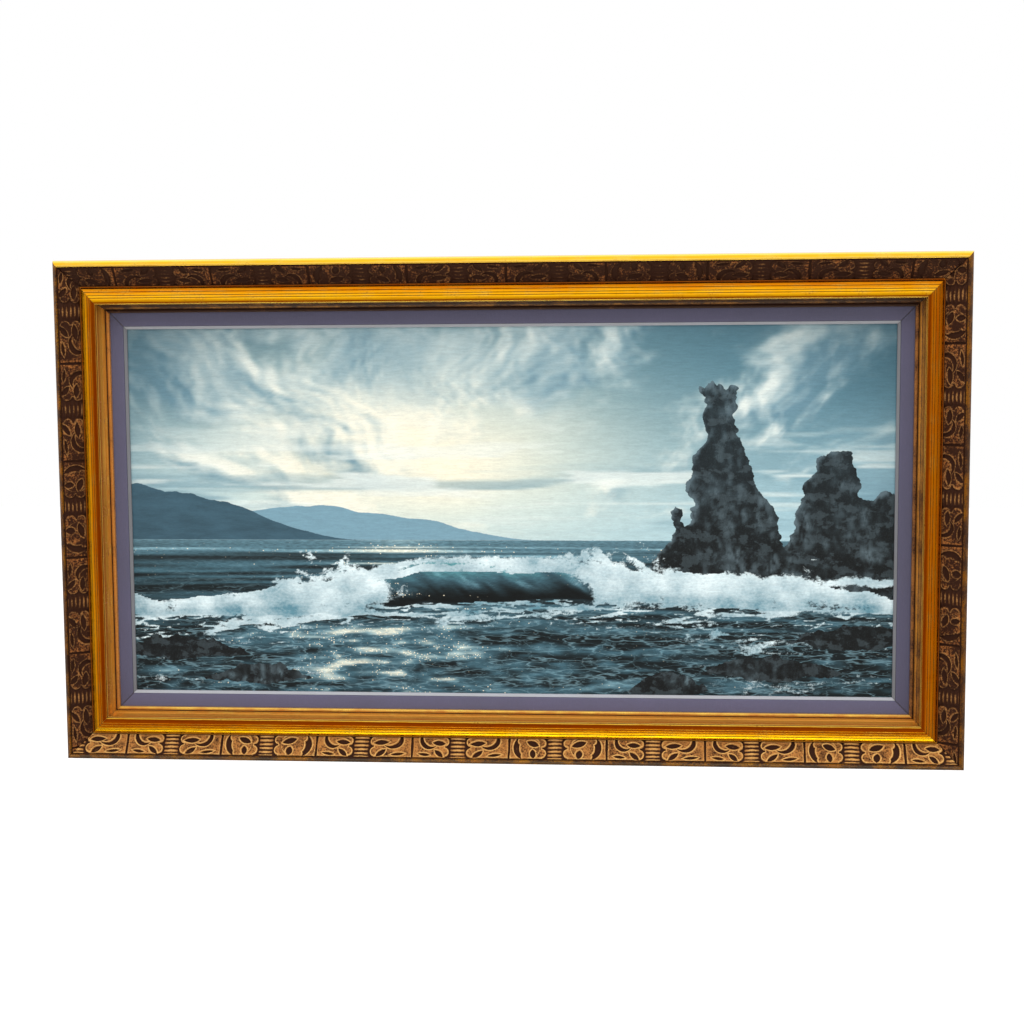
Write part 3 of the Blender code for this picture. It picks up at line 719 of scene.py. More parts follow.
def box_blur(values, radius):
    """Mean over a square of neighbours, by running sums first along and then across."""
    for axis in (0, 1):
        pad = [(0, 0), (0, 0)]
        pad[axis] = (radius + 1, radius)
        sums = np.cumsum(np.pad(values, pad, mode="edge"), axis=axis)
        width = 2 * radius + 1
        upper = np.take(sums, np.arange(width, sums.shape[axis]), axis=axis)
        lower = np.take(sums, np.arange(0, sums.shape[axis] - width), axis=axis)
        values = (upper - lower) / width
    return values


def carved_band(side, settings, material):
    """The carving as one closed slab on the band's floor.

    Its upper side is a height over a grid along and across the band. A row's points lie at the
    same share of their reach to the mitres, and the end rows lean to lie in the mitre planes.
    """
    width = RELIEF_IN_STEP + BAND_SLOPE + RELIEF_IN_CREST
    slope = BAND_RUN / BAND_SLOPE
    start = at(BAND_START, BAND_FLOOR_INNER) - slope * RELIEF_IN_STEP
    columns = round(width / settings.carving_step) + 1
    rows = round(2 * (half_opening(side) + BAND_END) / settings.carving_step)
    y = np.linspace(0.0, width, columns)[None, :]
    shares = np.linspace(-1.0, 1.0, rows)[:, None]
    on_floor = start + slope * y
    reach = half_opening(side) + on_floor.real - FIT_GAP / 2
    along = shares * reach
    divider, first = DIVIDERS[side]
    share, gold, ground = carving(first * PITCH + divider - along, y - RELIEF_IN_STEP)
    height = RELIEF_FLOOR + settings.relief * share
    section = on_floor + 1j * slope * height
    lean = np.sign(shares) * smooth(np.abs(along), reach - MITRE_LEAN, reach)
    top = to_world(side, section, along + lean * (section.real - on_floor.real))
    under = on_floor[:, [0, -1]] - 1j * slope * RELIEF_SEAT
    below = to_world(side, under, shares * (half_opening(side) + under.real - FIT_GAP / 2))
    piece = make_piece("carved_band_" + side, *closed_slab(top, below), [material], "gilt", [])
    shade(piece, 80.0)
    millimetres = height * 1000
    hollow = box_blur(millimetres, 2) - millimetres + 0.4 * (box_blur(millimetres, 6) - millimetres)
    store(piece, "flow", np.stack(np.broadcast_arrays(along, y, float(SIDES.index(side))), -1))
    store(piece, "hollow", np.clip(hollow, -HOLLOW_MOST, HOLLOW_MOST), 1.0)
    store(piece, "gold", gold)
    store(piece, "ground", ground)
    # Painted shade of each side, darkening the carving with umber and reddening it with bole
    store(piece, "umber", np.empty(0), CARVING_PAINTED_SHADE[side])


class Value:
    """A node's output that can be written in sums: each sign makes one arithmetic node."""

    def __init__(self, graph, socket):
        self.graph = graph
        self.socket = socket

    def __add__(self, other):
        return self.graph.math("ADD", self, other)

    def __sub__(self, other):
        return self.graph.math("SUBTRACT", self, other)

    def __rsub__(self, other):
        return self.graph.math("SUBTRACT", other, self)

    def __mul__(self, other):
        return self.graph.math("MULTIPLY", self, other)

    def __abs__(self):
        return self.graph.math("ABSOLUTE", self)


class Graph:
    """A short way to place nodes: each call makes a node, fills its inputs and gives its output."""

    def __init__(self, tree):
        self.tree = tree

    def fill(self, socket, value):
        """Links an input to a node's output or keeps a plain value there; a colour gets its alpha."""
        if isinstance(value, Value):
            self.tree.links.new(value.socket, socket)
        elif socket.type == "RGBA":
            socket.default_value = (*tuple(value)[:3], 1.0)
        else:
            socket.default_value = value

    def new(self, kind, inputs, settings):
        """Makes a node and fills its inputs."""
        made = self.tree.nodes.new("ShaderNode" + kind)
        for name, value in settings.items():
            setattr(made, name, value)
        for key, value in inputs.items():
            self.fill(made.inputs[key], value)
        return made

    def node(self, kind, output, inputs, **settings):
        """Makes a node and gives one of its outputs, by name or number."""
        return Value(self, self.new(kind, inputs, settings).outputs[output])

    def parts(self, kind, inputs, **settings):
        """Makes a node and gives all its outputs by name."""
        outputs = self.new(kind, inputs, settings).outputs
        return {socket.name: Value(self, socket) for socket in outputs}

    def effect(self, name, **inputs):
        """Places a shared shader group with its own values."""
        return self.parts("Group", inputs, node_tree=bpy.data.node_groups[name])

    def stretched(self, vector, scale):
        """A vector multiplied by another one, part by part."""
        return self.node("VectorMath", 0, {0: vector, 1: scale}, operation="MULTIPLY")

    def math(self, operation, *values, clamp=False):
        """One arithmetic step on numbers."""
        return self.node("Math", 0, dict(enumerate(values)), operation=operation, use_clamp=clamp)

    def noise(self, vector, scale, detail=3.0, roughness=0.5):
        """Cloudy noise from 0 to 1; a scale of three numbers draws it out along an axis."""
        if isinstance(scale, tuple):
            vector = self.stretched(vector, scale)
            scale = 1.0
        inputs = {"Vector": vector, "Scale": scale, "Detail": detail, "Roughness": roughness}
        return self.node("TexNoise", "Fac", inputs)

    def mapped(self, value, low, high, to_low=0.0, to_high=1.0):
        """Carries the range from low to high over to another one, and stops at its ends."""
        inputs = {"Value": value, "From Min": low, "From Max": high, "To Min": to_low, "To Max": to_high}
        return self.node("MapRange", "Result", inputs)

    def mixed(self, share, first, second, blend_type="MIX"):
        """Mixes two colours by a share."""
        inputs = {0: share, 6: first, 7: second}
        return self.node("Mix", 2, inputs, data_type="RGBA", blend_type=blend_type)

    def shaded(self, colour, value):
        """A colour multiplied by a number."""
        grey = self.node("CombineColor", 0, {0: value, 1: value, 2: value})
        return self.mixed(1.0, colour, grey, "MULTIPLY")

    def ramp(self, value, stops):
        """A colour for each value, from stops of a place and a linear colour."""
        made = self.new("ValToRGB", {0: value}, {})
        elements = made.color_ramp.elements
        while len(elements) < len(stops):
            elements.new(0.5)
        for element, (place, colour) in zip(elements, stops):
            element.position = place
            element.color = (*colour, 1.0)
        return Value(self, made.outputs["Color"])

    def attribute(self, name, output="Fac"):
        """A number, colour or vector kept with the mesh's points."""
        return self.node("Attribute", output, {}, attribute_name=name)

    def place(self):
        """The place on the object, in metres."""
        return self.node("TexCoord", "Object", {})

    def mitre(self, width):
        """One along the four lines where the sides' mitred ends meet, and nought beside them."""
        parts = self.parts("SeparateXYZ", {0: self.place()})
        across = abs(parts["X"]) - SIGHT_WIDTH / 2
        up = abs(parts["Z"] - float(SIGHT_CENTRE[2])) - SIGHT_HEIGHT / 2
        return self.mapped(abs(across - up), width * 0.4, width, 1.0, 0.0)


class Surface(Graph):
    """The graph of a new material, with the inputs of its Principled shader."""

    def __init__(self, name):
        self.material = bpy.data.materials.new(name)
        self.material.use_nodes = True
        super().__init__(self.material.node_tree)
        self.shader = self.tree.nodes["Principled BSDF"].inputs

    def finish(self, colour, roughness, height, distance, strength=0.5, others=()):
        """Fills the shader, with a bump from the height, and gives back the material."""
        bump = {"Height": height, "Distance": distance, "Strength": strength}
        inputs = {"Base Color": colour, "Roughness": roughness, "Normal": self.node("Bump", "Normal", bump)}
        for key, value in (*inputs.items(), *others):
            self.fill(self.shader[key], value)
        return self.material


class Group(Graph):
    """The graph of a new shader group, whose inputs are named with their socket types."""

    def __init__(self, name, **kinds):
        super().__init__(bpy.data.node_groups.new(name, "ShaderNodeTree"))
        for label, kind in kinds.items():
            self.tree.interface.new_socket(name=label, in_out="INPUT", socket_type="NodeSocket" + kind)
        entry = self.tree.nodes.new("NodeGroupInput")
        self.given = [Value(self, entry.outputs[label]) for label in kinds]

    def give(self, **results):
        """Makes an output for each result and links it: Color is a colour, the rest are numbers."""
        for label in results:
            kind = "Color" if label == "Color" else "Float"
            self.tree.interface.new_socket(name=label, in_out="OUTPUT", socket_type="NodeSocket" + kind)
        result = self.tree.nodes.new("NodeGroupOutput")
        for label, value in results.items():
            self.fill(result.inputs[label], value)


def aged_gilding_group():
    """Leaf with dull streaks, rubbed edges, red clay showing through, dark wash in hollows and painted
    shade.
    """
    group = Group(
        "Aged gilding", Leaf="Color", Rubbed="Color", Bole="Color", Umber="Color",
        Flow="Vector", Hollow="Float", Wash="Float", Wear="Float",
    )
    leaf, rubbed, bole, umber, flow, hollow, wash, wear = group.given
    place = group.place()
    streaks = group.noise(flow, (14.0, 1700.0, 1.0), 4.0, 0.6)
    mottling = group.noise(place, 34.0, 5.0, 0.62)
    specks = group.noise(place, 420.0, 3.0, 0.7)
    dark = hollow * 0.9 + group.mapped(mottling, 0.35, 0.7, -0.25, 0.3)
    dark = dark + group.mapped(specks, 0.45, 0.75, -0.1, 0.35)
    # Besides umber in hollows, the wash given here carries each side's painted light and shade
    dark = group.math("ADD", dark, wash, clamp=True)
    edge = hollow * -1.0 + group.mapped(mottling, 0.35, 0.65, -0.35, 0.3)
    edge = group.math("ADD", edge, wear, clamp=True)
    toned = group.mixed(group.mapped(streaks, 0.36, 0.76, 0.0, 0.22), leaf, umber, "MULTIPLY")
    toned = group.mixed(group.mapped(mottling, 0.45, 0.8, 0.0, 0.16), toned, bole)
    worn = group.mixed(edge, toned, rubbed)
    clay = group.mapped(specks, 0.55, 0.66) * group.mapped(mottling, 0.5, 0.62)
    worn = group.mixed(clay * 0.55, worn, bole)
    group.give(
        Color=group.mixed(dark, worn, umber),
        Roughness=group.mapped(streaks, 0.3, 0.75, 0.11, 0.20) + dark * 0.34,
        Metallic=group.mapped(dark, 0.0, 1.0, 1.0, 0.25),
        Height=streaks * 0.5 + specks * 0.5,
    )


def woven_cloth_group():
    """A plain weave: threads that pass over and under in turn, with slubs, as height and tone."""
    group = Group("Plain weave", Place="Vector", Threads="Float", Slubs="Float")
    place, threads, slubs = group.given
    parts = group.parts("SeparateXYZ", {0: place})
    drift = group.noise(place, 60.0, 2.0)
    turns = threads * (2 * math.pi)
    across = parts["X"] * turns + drift * 2.0
    up = parts["Z"] * turns + drift * 2.0
    over = group.math("SINE", across * 0.5) * group.math("SINE", up * 0.5)
    height = group.math("SINE", across) * group.math("SINE", up) + over * 0.5
    slub = group.mapped(group.noise(place, (700.0, 700.0, 90.0), 2.0), 0.45, 0.8) * slubs
    group.give(Height=height * 0.35 + slub, Tone=group.mapped(height + slub, -1.2, 1.6, 0.86, 1.1))


def wood_grain_group():
    """Long fibres and growth rings, as a share of darkness and a height."""
    group = Group("Wood grain", Place="Vector", Stretch="Vector")
    place, stretch = group.given
    place = group.stretched(place, stretch)
    bands = group.math("FRACT", group.noise(place, 1.0, 2.0, 0.4) * 9.0)
    fibres = group.noise(place, 9.0, 4.0, 0.7)
    group.give(Grain=bands * 0.45 + fibres * 0.55, Height=fibres)


def gilt_moulding_material(settings):
    """Bright leaf on the plain members, with painted shade toning it deeper where the section turns away."""
    graph = Surface("gilt_moulding")
    flow = graph.attribute("flow", "Vector")
    dull = graph.attribute("dull")
    cloudy = graph.mapped(graph.noise(flow, (9.0, 260.0, 1.0)), 0.3, 0.7, -0.18, 0.18)
    # The tone holds the leaf's even toning and each side's painted light and shade on the ogee
    tone = graph.math("ADD", graph.attribute("tone"), cloudy, clamp=True)
    leaf = graph.mixed(tone, settings.leaf, settings.deep_leaf)
    leaf = graph.mixed(dull, leaf, settings.dull_leaf)
    leaf = graph.mixed(graph.attribute("clay"), leaf, settings.bole)
    along = graph.node("SeparateXYZ", "X", {0: flow})
    lap = graph.math("FRACT", along * LEAVES_PER_METRE)
    leaf = graph.mixed(graph.mapped(lap, 0.0, 0.02, 0.12, 0.0), leaf, settings.bole)
    # The wash holds each side's painted light and shade on the crest and lips, and the first lip's umber
    wash = graph.attribute("wash") - 0.28 + graph.mitre(0.0007) * 0.8
    aged = graph.effect(
        "Aged gilding", Leaf=leaf, Rubbed=settings.rubbed, Bole=settings.bole, Umber=settings.umber,
        Flow=flow, Hollow=graph.attribute("hollow"), Wash=wash, Wear=-0.32,
    )
    metal = aged["Metallic"] * graph.mapped(dull, 0.0, 1.0, 1.0, 0.38)
    return graph.finish(
        aged["Color"], aged["Roughness"] + dull * 0.12, aged["Height"], 0.0004, 0.3,
        [("Metallic", metal)],
    )


def gilt_carving_material(settings):
    """Dull leaf on the carving: dark smooth recesses, stippled ground, rubbed outlines and painted shade."""
    graph = Surface("gilt_carving")
    ground = graph.attribute("ground")
    # Each side's painted shade: more umber, and bole mixed into the leaf
    umber = graph.attribute("umber")
    place = graph.place()
    punch = graph.node("TexVoronoi", "Distance", {"Vector": place, "Scale": 620.0})
    punched = graph.mapped(punch, 0.15, 0.6, 1.0, 0.0)
    speckle = graph.noise(place, 330.0, 3.0, 0.7)
    leaf_share = ground * graph.mapped(graph.noise(place, 60.0, 4.0), 0.32, 0.6, 0.2, 1.0)
    leaf_share = leaf_share * graph.mapped(speckle, 0.38, 0.60, 0.12, 1.2)
    leaf_share = leaf_share * graph.mapped(punched, 0.0, 1.0, 1.0, 0.6)
    rubbed = graph.attribute("gold") * graph.mapped(speckle, 0.34, 0.56, 0.45, 1.1)
    leaf_share = graph.math("MAXIMUM", leaf_share, rubbed, clamp=True)
    wash = graph.mapped(leaf_share, 0.0, 1.0, 0.92, -0.25)
    wash = wash + umber * graph.mapped(rubbed, 0.2, 0.9, 1.0, 1.5)
    leaf = graph.mixed(rubbed * 0.6, settings.carved_leaf, settings.carved_edge)
    aged = graph.effect(
        "Aged gilding", Leaf=graph.mixed(umber * 0.55, leaf, settings.bole),
        Rubbed=settings.carved_edge, Bole=settings.bole, Umber=settings.umber,
        Flow=graph.attribute("flow", "Vector"),
        Hollow=graph.math("MAXIMUM", graph.attribute("hollow"), umber - 1.0),
        Wash=wash + graph.mitre(0.0008) * 0.6, Wear=-0.45,
    )
    return graph.finish(
        aged["Color"], aged["Roughness"] + 0.22, aged["Height"] + punched * (ground * -1.0), 0.0006, 0.5,
        [("Metallic", aged["Metallic"] * 0.35), ("Specular IOR Level", 0.22)],
    )


def wood_material(name, light, dark, stretch):
    """Bare wood with its fibres along the piece."""
    graph = Surface(name)
    place = graph.place()
    grain = graph.effect("Wood grain", Place=place, Stretch=stretch)
    blotch = graph.mapped(graph.noise(place, 9.0), 0.35, 0.8, 0.0, 0.35)
    colour = graph.mixed(blotch, graph.mixed(grain["Grain"], light, dark), dark)
    roughness = graph.mapped(grain["Height"], 0.2, 0.8, 0.62, 0.85)
    return graph.finish(colour, roughness, grain["Height"], 0.0003)


def liner_cloth_material(settings):
    """Painted linen over the liner's face, with faint slubs and handling marks."""
    graph = Surface("liner_cloth")
    place = graph.place()
    weave = graph.effect("Plain weave", Place=place, Threads=1150.0, Slubs=0.9)
    cloudy = graph.mapped(graph.noise(place, 12.0, 4.0), 0.3, 0.7, 0.0, 0.22)
    colour = graph.mixed(cloudy, settings.cloth, (0.085, 0.09, 0.12))
    # Each side's painted shade darkens the cloth
    colour = graph.shaded(colour, weave["Tone"] * graph.attribute("shade"))
    colour = graph.mixed(graph.mitre(0.0014) * 0.8, colour, (0.03, 0.03, 0.04))
    return graph.finish(colour, 0.82, weave["Height"], 0.00022, 0.55, [("Sheen Weight", 0.12)])


def bevel_material(settings):
    """The pale slip at the sight edge, slightly soiled, with each side's painted light and shade."""
    graph = Surface("liner_bevel")
    soil = graph.noise(graph.place(), 25.0, 5.0)
    colour = graph.mixed(graph.mapped(soil, 0.4, 0.8, 0.0, 0.4), settings.bevel, (0.22, 0.22, 0.21))
    return graph.finish(graph.shaded(colour, graph.attribute("shade")), 0.55, soil, 0.0002, 0.4)


def steel_material():
    """Dull zinc-coated steel with faint rust at its specks."""
    graph = Surface("framing_steel")
    place = graph.place()
    patches = graph.noise(place, 160.0)
    rust = graph.mapped(graph.noise(place, 700.0), 0.6, 0.72)
    colour = graph.mixed(patches, (0.36, 0.36, 0.35), (0.56, 0.56, 0.54))
    colour = graph.mixed(rust * 0.6, colour, (0.16, 0.06, 0.02))
    roughness = graph.mapped(patches, 0.3, 0.7, 0.3, 0.5)
    return graph.finish(colour, roughness, patches, 0.0001, others=[("Metallic", 1.0)])


def canvas_back_material():
    """Unprimed cotton canvas seen from behind, with a few old water marks."""
    graph = Surface("raw_canvas")
    place = graph.place()
    weave = graph.effect("Plain weave", Place=place, Threads=780.0, Slubs=0.7)
    marks = graph.mapped(graph.noise(place, 5.0, 5.0, 0.6), 0.42, 0.75, 0.0, 0.5)
    colour = graph.mixed(marks, (0.52, 0.44, 0.31), (0.36, 0.27, 0.16))
    return graph.finish(graph.shaded(colour, weave["Tone"]), 0.9, weave["Height"], 0.0004, 0.7)


def display(colour):
    """A linear colour as a display colour from 0 to 1, in which the picture is mixed."""
    colour = np.asarray(tuple(colour)[:3], float)
    return np.where(colour <= 0.0031308, colour * 12.92, 1.055 * colour ** (1 / 2.4) - 0.055)


def to_linear(colours):
    """Display colours from 0 to 1 as linear ones."""
    colours = np.clip(colours, 0.0, 1.0)
    return np.where(colours <= 0.04045, colours / 12.92, ((colours + 0.055) / 1.055) ** 2.4)


class Tones:
    """The picture's colours as display colours, under the names of its settings."""

    def __init__(self, settings):
        for name in settings.bl_rna.properties.keys():
            if name not in ("rna_type", "name", "seed"):
                setattr(self, name, display(getattr(settings, name)))
        self.seed = settings.seed


def ridged(x, y, seed):
    """Noise with sharp crests and broad troughs."""
    return 1 - 2.6 * np.abs(value_noise(x, y, seed) + 0.35 * value_noise(x * 2.3, y * 2.3, seed + 40))


def angular(x, seed, octaves=5):
    """A jagged line: random heights joined by short steps, at several sizes."""
    total = 0.0
    strength = 0.5
    for octave in range(octaves):
        table = np.random.default_rng(seed + octave).uniform(-1.0, 1.0, 4096)
        place = x * 2.0 ** octave + 700
        cell = np.floor(place).astype(int)
        share = smooth(place - cell, 0.25, 0.75)
        total = total + strength * (table[cell % 4096] * (1 - share) + table[(cell + 1) % 4096] * share)
        strength *= 0.55
    return total


def cloud_density(x, z, seed):
    """Banks of cloud, bent by slow noise, drawn out level and thinner towards the horizon."""
    over = np.clip(z - HORIZON, 0.0, None)
    depth = 0.10 / (over + 0.055)
    bend = fractal_noise(x * 4.0, z * 7.0, seed + 60, 3)
    across = x * (0.9 + depth * 1.5) * 3.0 + bend * 0.20
    up = z * 3.8 * (1.0 + depth * 3.2) + x * 0.5 + bend * 0.16
    puffs = fractal_noise(across, up, seed, 6, 0.56)
    banks = fractal_noise(x * 1.6 + 4.0, z * 4.5, seed + 9, 3)
    return puffs + 0.7 * banks


def paint_sky(x, z, tones):
    """Sky colours: a fade, a glow low over the sea, and clouds whose edges face it.

    A cloud is light where it gets thinner towards the glow, so the light is the difference of
    the density here and a little nearer the glow, less a share for thick cloud.
    """
    over = np.clip((z - HORIZON) / SKY_HEIGHT, 0.0, 1.0)
    wash = fractal_noise(x * 2.2, z * 3.4, tones.seed + 80, 4)
    colour = blend(tones.low_sky, tones.high_sky, smooth(over + 0.12 * wash, 0.05, 0.95))
    away_x = x - GLOW_PLACE[0]
    away_z = z - GLOW_PLACE[1]
    glow = np.exp(-(away_x / 0.26) ** 2 - (away_z / 0.12) ** 2)
    glow += 0.35 * np.exp(-(away_x / 0.45) ** 2 - (away_z / 0.22) ** 2)
    colour = blend(colour, tones.glow, np.clip(glow * (0.9 + 0.3 * wash), 0.0, 0.92))
    density = cloud_density(x, z, tones.seed)
    length = np.hypot(away_x, away_z) + 0.05
    nearer_x = x - 0.016 * away_x / length
    nearer_z = z + 0.010 - 0.016 * away_z / length
    edge = np.clip(density - cloud_density(nearer_x, nearer_z, tones.seed), -0.6, 0.6)
    cover = smooth(density, -0.16, 0.42) * smooth(over, 0.0, 0.14)
    thick = smooth(density, 0.12, 0.95)
    lit = np.clip(0.50 + edge * 2.1 - 0.42 * thick + 0.42 * glow, 0.0, 1.0)
    cloud = blend(tones.cloud_shade, tones.cloud_light, lit)
    cloud = blend(cloud, tones.glow, np.clip(glow, 0.0, 1.0) * 0.6 * lit)
    colour = blend(colour, cloud, cover * 0.92)
    bars = smooth(fractal_noise(x * 3.2, z * 46.0, tones.seed + 33, 4), 0.0, 0.5)
    bars = bars * bell(over, 0.20, 0.13)
    colour = blend(colour, tones.cloud_shade, bars * 0.62)
    thin = smooth(fractal_noise(x * 5.0 + 9, z * 70.0, tones.seed + 44, 4), 0.25, 0.6)
    thin = thin * bell(over, 0.30, 0.2)
    colour = blend(colour, tones.cloud_light, thin * 0.7)
    corner = smooth(np.hypot(x / 0.70, z / 0.40), 0.70, 1.25)
    return blend(colour, tones.high_sky * 0.62, corner * 0.55)


def on_water(x, z, least):
    """Places on the water: a point d below the horizon is x / d to the side and 1 / d away."""
    below = np.clip(HORIZON - z, 0.0, None) + least
    return x / below, 1.0 / below


def swell(x, z, seed):
    """Waves of every size that a point's distance still shows, as a sum of sharp ridges.

    Waves shorter than a few rows of the mesh fade out, so the sea gets finer and more even with
    distance.
    """
    side, away = on_water(x, z, 0.006)
    row = ROW_HEIGHT * away ** 2
    total = np.zeros(x.shape)
    weight = np.zeros(x.shape)
    for octave in range(8):
        size = 0.045 * 2.0 ** octave
        seen = smooth(1.0 / (size * row), 1.6, 4.5)
        large = smooth(size * row, 0.004, 0.02)
        share = seen * (0.35 + 0.65 * large)
        slant = (side + 0.22 * (-1) ** octave * away) * size * 0.62
        total += share * ridged(slant, away * size * 1.15, seed + 200 + 3 * octave)
        weight += share
    return total / (weight + 0.35)


def paint_sea(x, z, tones):
    """Sea colours: dark fronts, lighter backs that mirror the sky, and a path under the glow."""
    share = np.clip(HORIZON - z, 0.0, None) / SEA_DEPTH
    height = swell(x, z, tones.seed)
    slope = height - swell(x, z + 0.0035 + 0.010 * share, tones.seed)
    path = np.exp(-((x - GLOW_PLACE[0] + 0.06 * share) / (0.07 + 0.20 * share)) ** 2)
    haze = np.exp(-share / 0.10)
    cross = ridged(x * 17 + z * 30, z * 62 - x * 9, tones.seed + 260)
    cross = cross + ridged(x * 15 - z * 34, z * 54 + x * 8, tones.seed + 270)
    light = 0.36 + 0.40 * height + 0.42 * slope + 0.22 * haze - 0.12 * smooth(share, 0.3, 1.0)
    light = light + 0.13 * cross * smooth(share, 0.35, 0.7) + path * (0.16 + 0.2 * height)
    light = light - 0.10 * smooth(np.abs(x + 0.05), 0.2, 0.6) - 0.03 * smooth(share, 0.3, 0.8)
    colour = blend(tones.sea_deep, tones.sea_middle, smooth(light, 0.06, 0.58))
    colour = blend(colour, tones.sea_light, smooth(light, 0.52, 1.02) * 0.85)
    colour = blend(colour, tones.glow, smooth(light, 0.62, 1.0) * path * 0.8)
    colour = blend(colour, tones.low_sky, haze * 0.28)
    glint = smooth(light, 0.45, 0.9) * (0.25 + path * 1.2) * smooth(share, 0.0, 0.06)
    return colour, glint


def roller_lines(x):
    """The breaking wave's foot line and its height, which is greatest where it stands clear."""
    foot = -0.150 + 0.012 * np.sin(x * 4.3 + 0.9) + 0.003 * value_noise(x * 30, 0.0, 71)
    tall = 0.020 + 0.050 * bell(x, -0.06, 0.25) + 0.014 * bell(x, 0.42, 0.14)
    return foot, tall + 0.006 * fractal_noise(x * 14, 3.0, 72, 3)


def paint_roller(x, z, tones):
    """The wave's face: dark at its foot, and light comes through under its crest."""
    foot, tall = roller_lines(x)
    up = (z - foot) / tall
    inside = np.minimum(z - foot, foot + tall - z)
    grown = bell(x, -0.04, 0.16)
    streaks = fractal_noise(x * 34 + up * 2.6, up * 1.6 + x * 3, tones.seed + 75, 5, 0.6)
    face = blend(tones.sea_deep * 0.75, tones.sea_middle, smooth(up + 0.18 * streaks, 0.05, 0.62))
    face = blend(face, tones.wave, smooth(up + 0.22 * streaks, 0.42, 0.95) * (0.25 + 0.75 * grown))
    return inside, blend(face, tones.sea_light, smooth(streaks, 0.12, 0.7) * 0.5 * smooth(up, 0.1, 0.6))


def foam_layers(x, z, tones):
    """Cover and light of the broken water: above nought the cover is foam.

    It is the largest of the tumbling front, the lip, the thrown spray, the lace before the wave
    and the caps behind it. The lace lies along lines where a noise on the water crosses nought.
    """
    seed = tones.seed
    foot, tall = roller_lines(x)
    up = (z - foot) / tall
    billow = fractal_noise(x * 26, z * 34, seed + 300, 5, 0.58)
    fine = fractal_noise(x * 90, z * 110, seed + 310, 4, 0.62)
    broken = smooth(np.abs(x + 0.05 + 0.03 * np.sin(z * 60)), 0.10, 0.21)
    front = broken * 1.5 - 0.75 + 0.62 * billow - 0.35 * np.abs(up - 0.52) ** 2
    lip = 0.42 - np.abs(up - 0.97) * 4.5 + 0.6 * billow
    on_wave = (up > 0.2 * billow - 0.25) & (up < 1.15)
    on_wave = np.where(on_wave, np.maximum(front, lip), -1.0)
    plume = 0.30 + 1.5 * bell(x, -0.30, 0.075) + 1.15 * bell(x, 0.20, 0.085)
    plume = plume + 0.5 * bell(x, 0.46, 0.05) + 0.25 * value_noise(x * 30, 0.0, 88)
    plume = np.clip(plume, 0.05, None) * (0.3 + 0.7 * broken)
    thrown = fractal_noise(x * 46 + up * 3.0, up * 1.5, seed + 320, 4, 0.62)
    spray = 0.62 - 1.05 * np.clip(up - 0.85, 0.0, None) / plume
    spray = np.where(up > 0.7, spray, -1.0) + 0.5 * thrown + 0.42 * fine
    side, away = on_water(x, z, 0.03)
    warp = fractal_noise(side * 0.7, away * 0.7, seed + 330, 3)
    web = np.abs(fractal_noise(side * 1.3 + 0.5 * warp, away * 1.9 + 0.8 * warp, seed + 340, 4, 0.6))
    fine_web = np.abs(fractal_noise(side * 3.4 + 0.5 * warp, away * 4.4, seed + 345, 3, 0.6))
    patch = fractal_noise(side * 0.45 + 3, away * 0.7, seed + 350, 3)
    close = smooth(foot - z, 0.075, 0.0)
    wash = (0.10 + 0.10 * patch + 0.14 * close - web) * 3.0
    wash = np.maximum(wash, (0.06 + 0.06 * patch + 0.06 * close - fine_web) * 3.0)
    wash = np.where(z < foot, wash - 0.3 + 0.5 * close, -1.0)
    caps = swell(x, z, seed) - 0.80 + 0.35 * fine
    caps = np.where((z < HORIZON - 0.012) & (z > foot + tall), caps, -1.0)
    surf_line = HORIZON - 0.066 + 0.010 * fractal_noise(x * 10, 0.0, 601, 4)
    surf = 0.012 + 0.034 * bell(x, 0.235, 0.030) + 0.018 * bell(x, 0.44, 0.03)
    surf = (z - surf_line) / surf
    surf = np.where(surf > 0, 0.55 - surf, 0.55 + surf * 1.1)
    surf = surf + 0.55 * fractal_noise(x * 40, z * 44, 603, 5, 0.62)
    surf = np.where(x > 0.15 + 0.02 * value_noise(z * 90, 0.0, 604), surf, -1.0)
    shade = 0.50 + 0.42 * fractal_noise(x * 20 + 2, z * 26, seed + 360, 5, 0.58)
    shade = shade + 0.22 * smooth(up, 0.3, 1.2) - 0.25 * smooth(up, 0.45, 0.0) * (up > -0.3)
    return np.maximum.reduce([on_wave, spray, wash, caps, surf]), np.clip(shade, 0.0, 1.0)


def rock_layers(x, z):
    """Distances inside the sea stacks with their ledge and inside the boulders, in metres."""
    base = HORIZON - 0.052 + 0.008 * fractal_noise(x * 12, 0.0, 405, 3)
    stacks = np.full(x.shape, -1.0)
    for middle, foot_width, top_width, top, lean, seed in STACKS:
        share = np.clip((z - base) / (top - base), 0.0, 1.0)
        width = foot_width + (top_width - foot_width) * share ** 0.62
        left = middle + lean * share - width + 0.016 * angular(z * 26, seed)
        right = middle + lean * share + width * 0.92 + 0.016 * angular(z * 22, seed + 7)
        crown = top - 0.020 * np.abs(angular(x * 24, seed + 14)) - 0.25 * np.abs(x - middle - lean)
        stacks = np.maximum(stacks, np.minimum.reduce([x - left, right - x, crown - z]))
    craggy = 0.004 * fractal_noise(x * 60, z * 70, 401, 4, 0.6)
    ledge_top = 0.10 * (x - 0.36) - 0.088 + 0.020 * angular(x * 9, 404)
    stacks = np.maximum(stacks, np.minimum(ledge_top - z, (x - 0.175) * 0.4))
    foot = z - base + 0.035 + 0.012 * fractal_noise(x * 20, 0.0, 406, 3)
    stacks = np.minimum(stacks, foot) + craggy
    boulders = np.full(x.shape, -1.0)
    for middle, top, half, seed in BOULDERS:
        across = (x - middle) / half
        hump = top - 0.030 * across ** 2 - 0.016 * np.abs(angular(x * 20, seed, 4))
        bottom = top - 0.042 + 0.012 * across ** 2 + 0.004 * fractal_noise(x * 30, 0.0, seed + 5, 3)
        round_off = (1 - np.abs(across)) * half * 0.6
        boulders = np.maximum(boulders, np.minimum.reduce([hump - z, z - bottom, round_off]))
    return stacks, boulders + craggy * 0.7


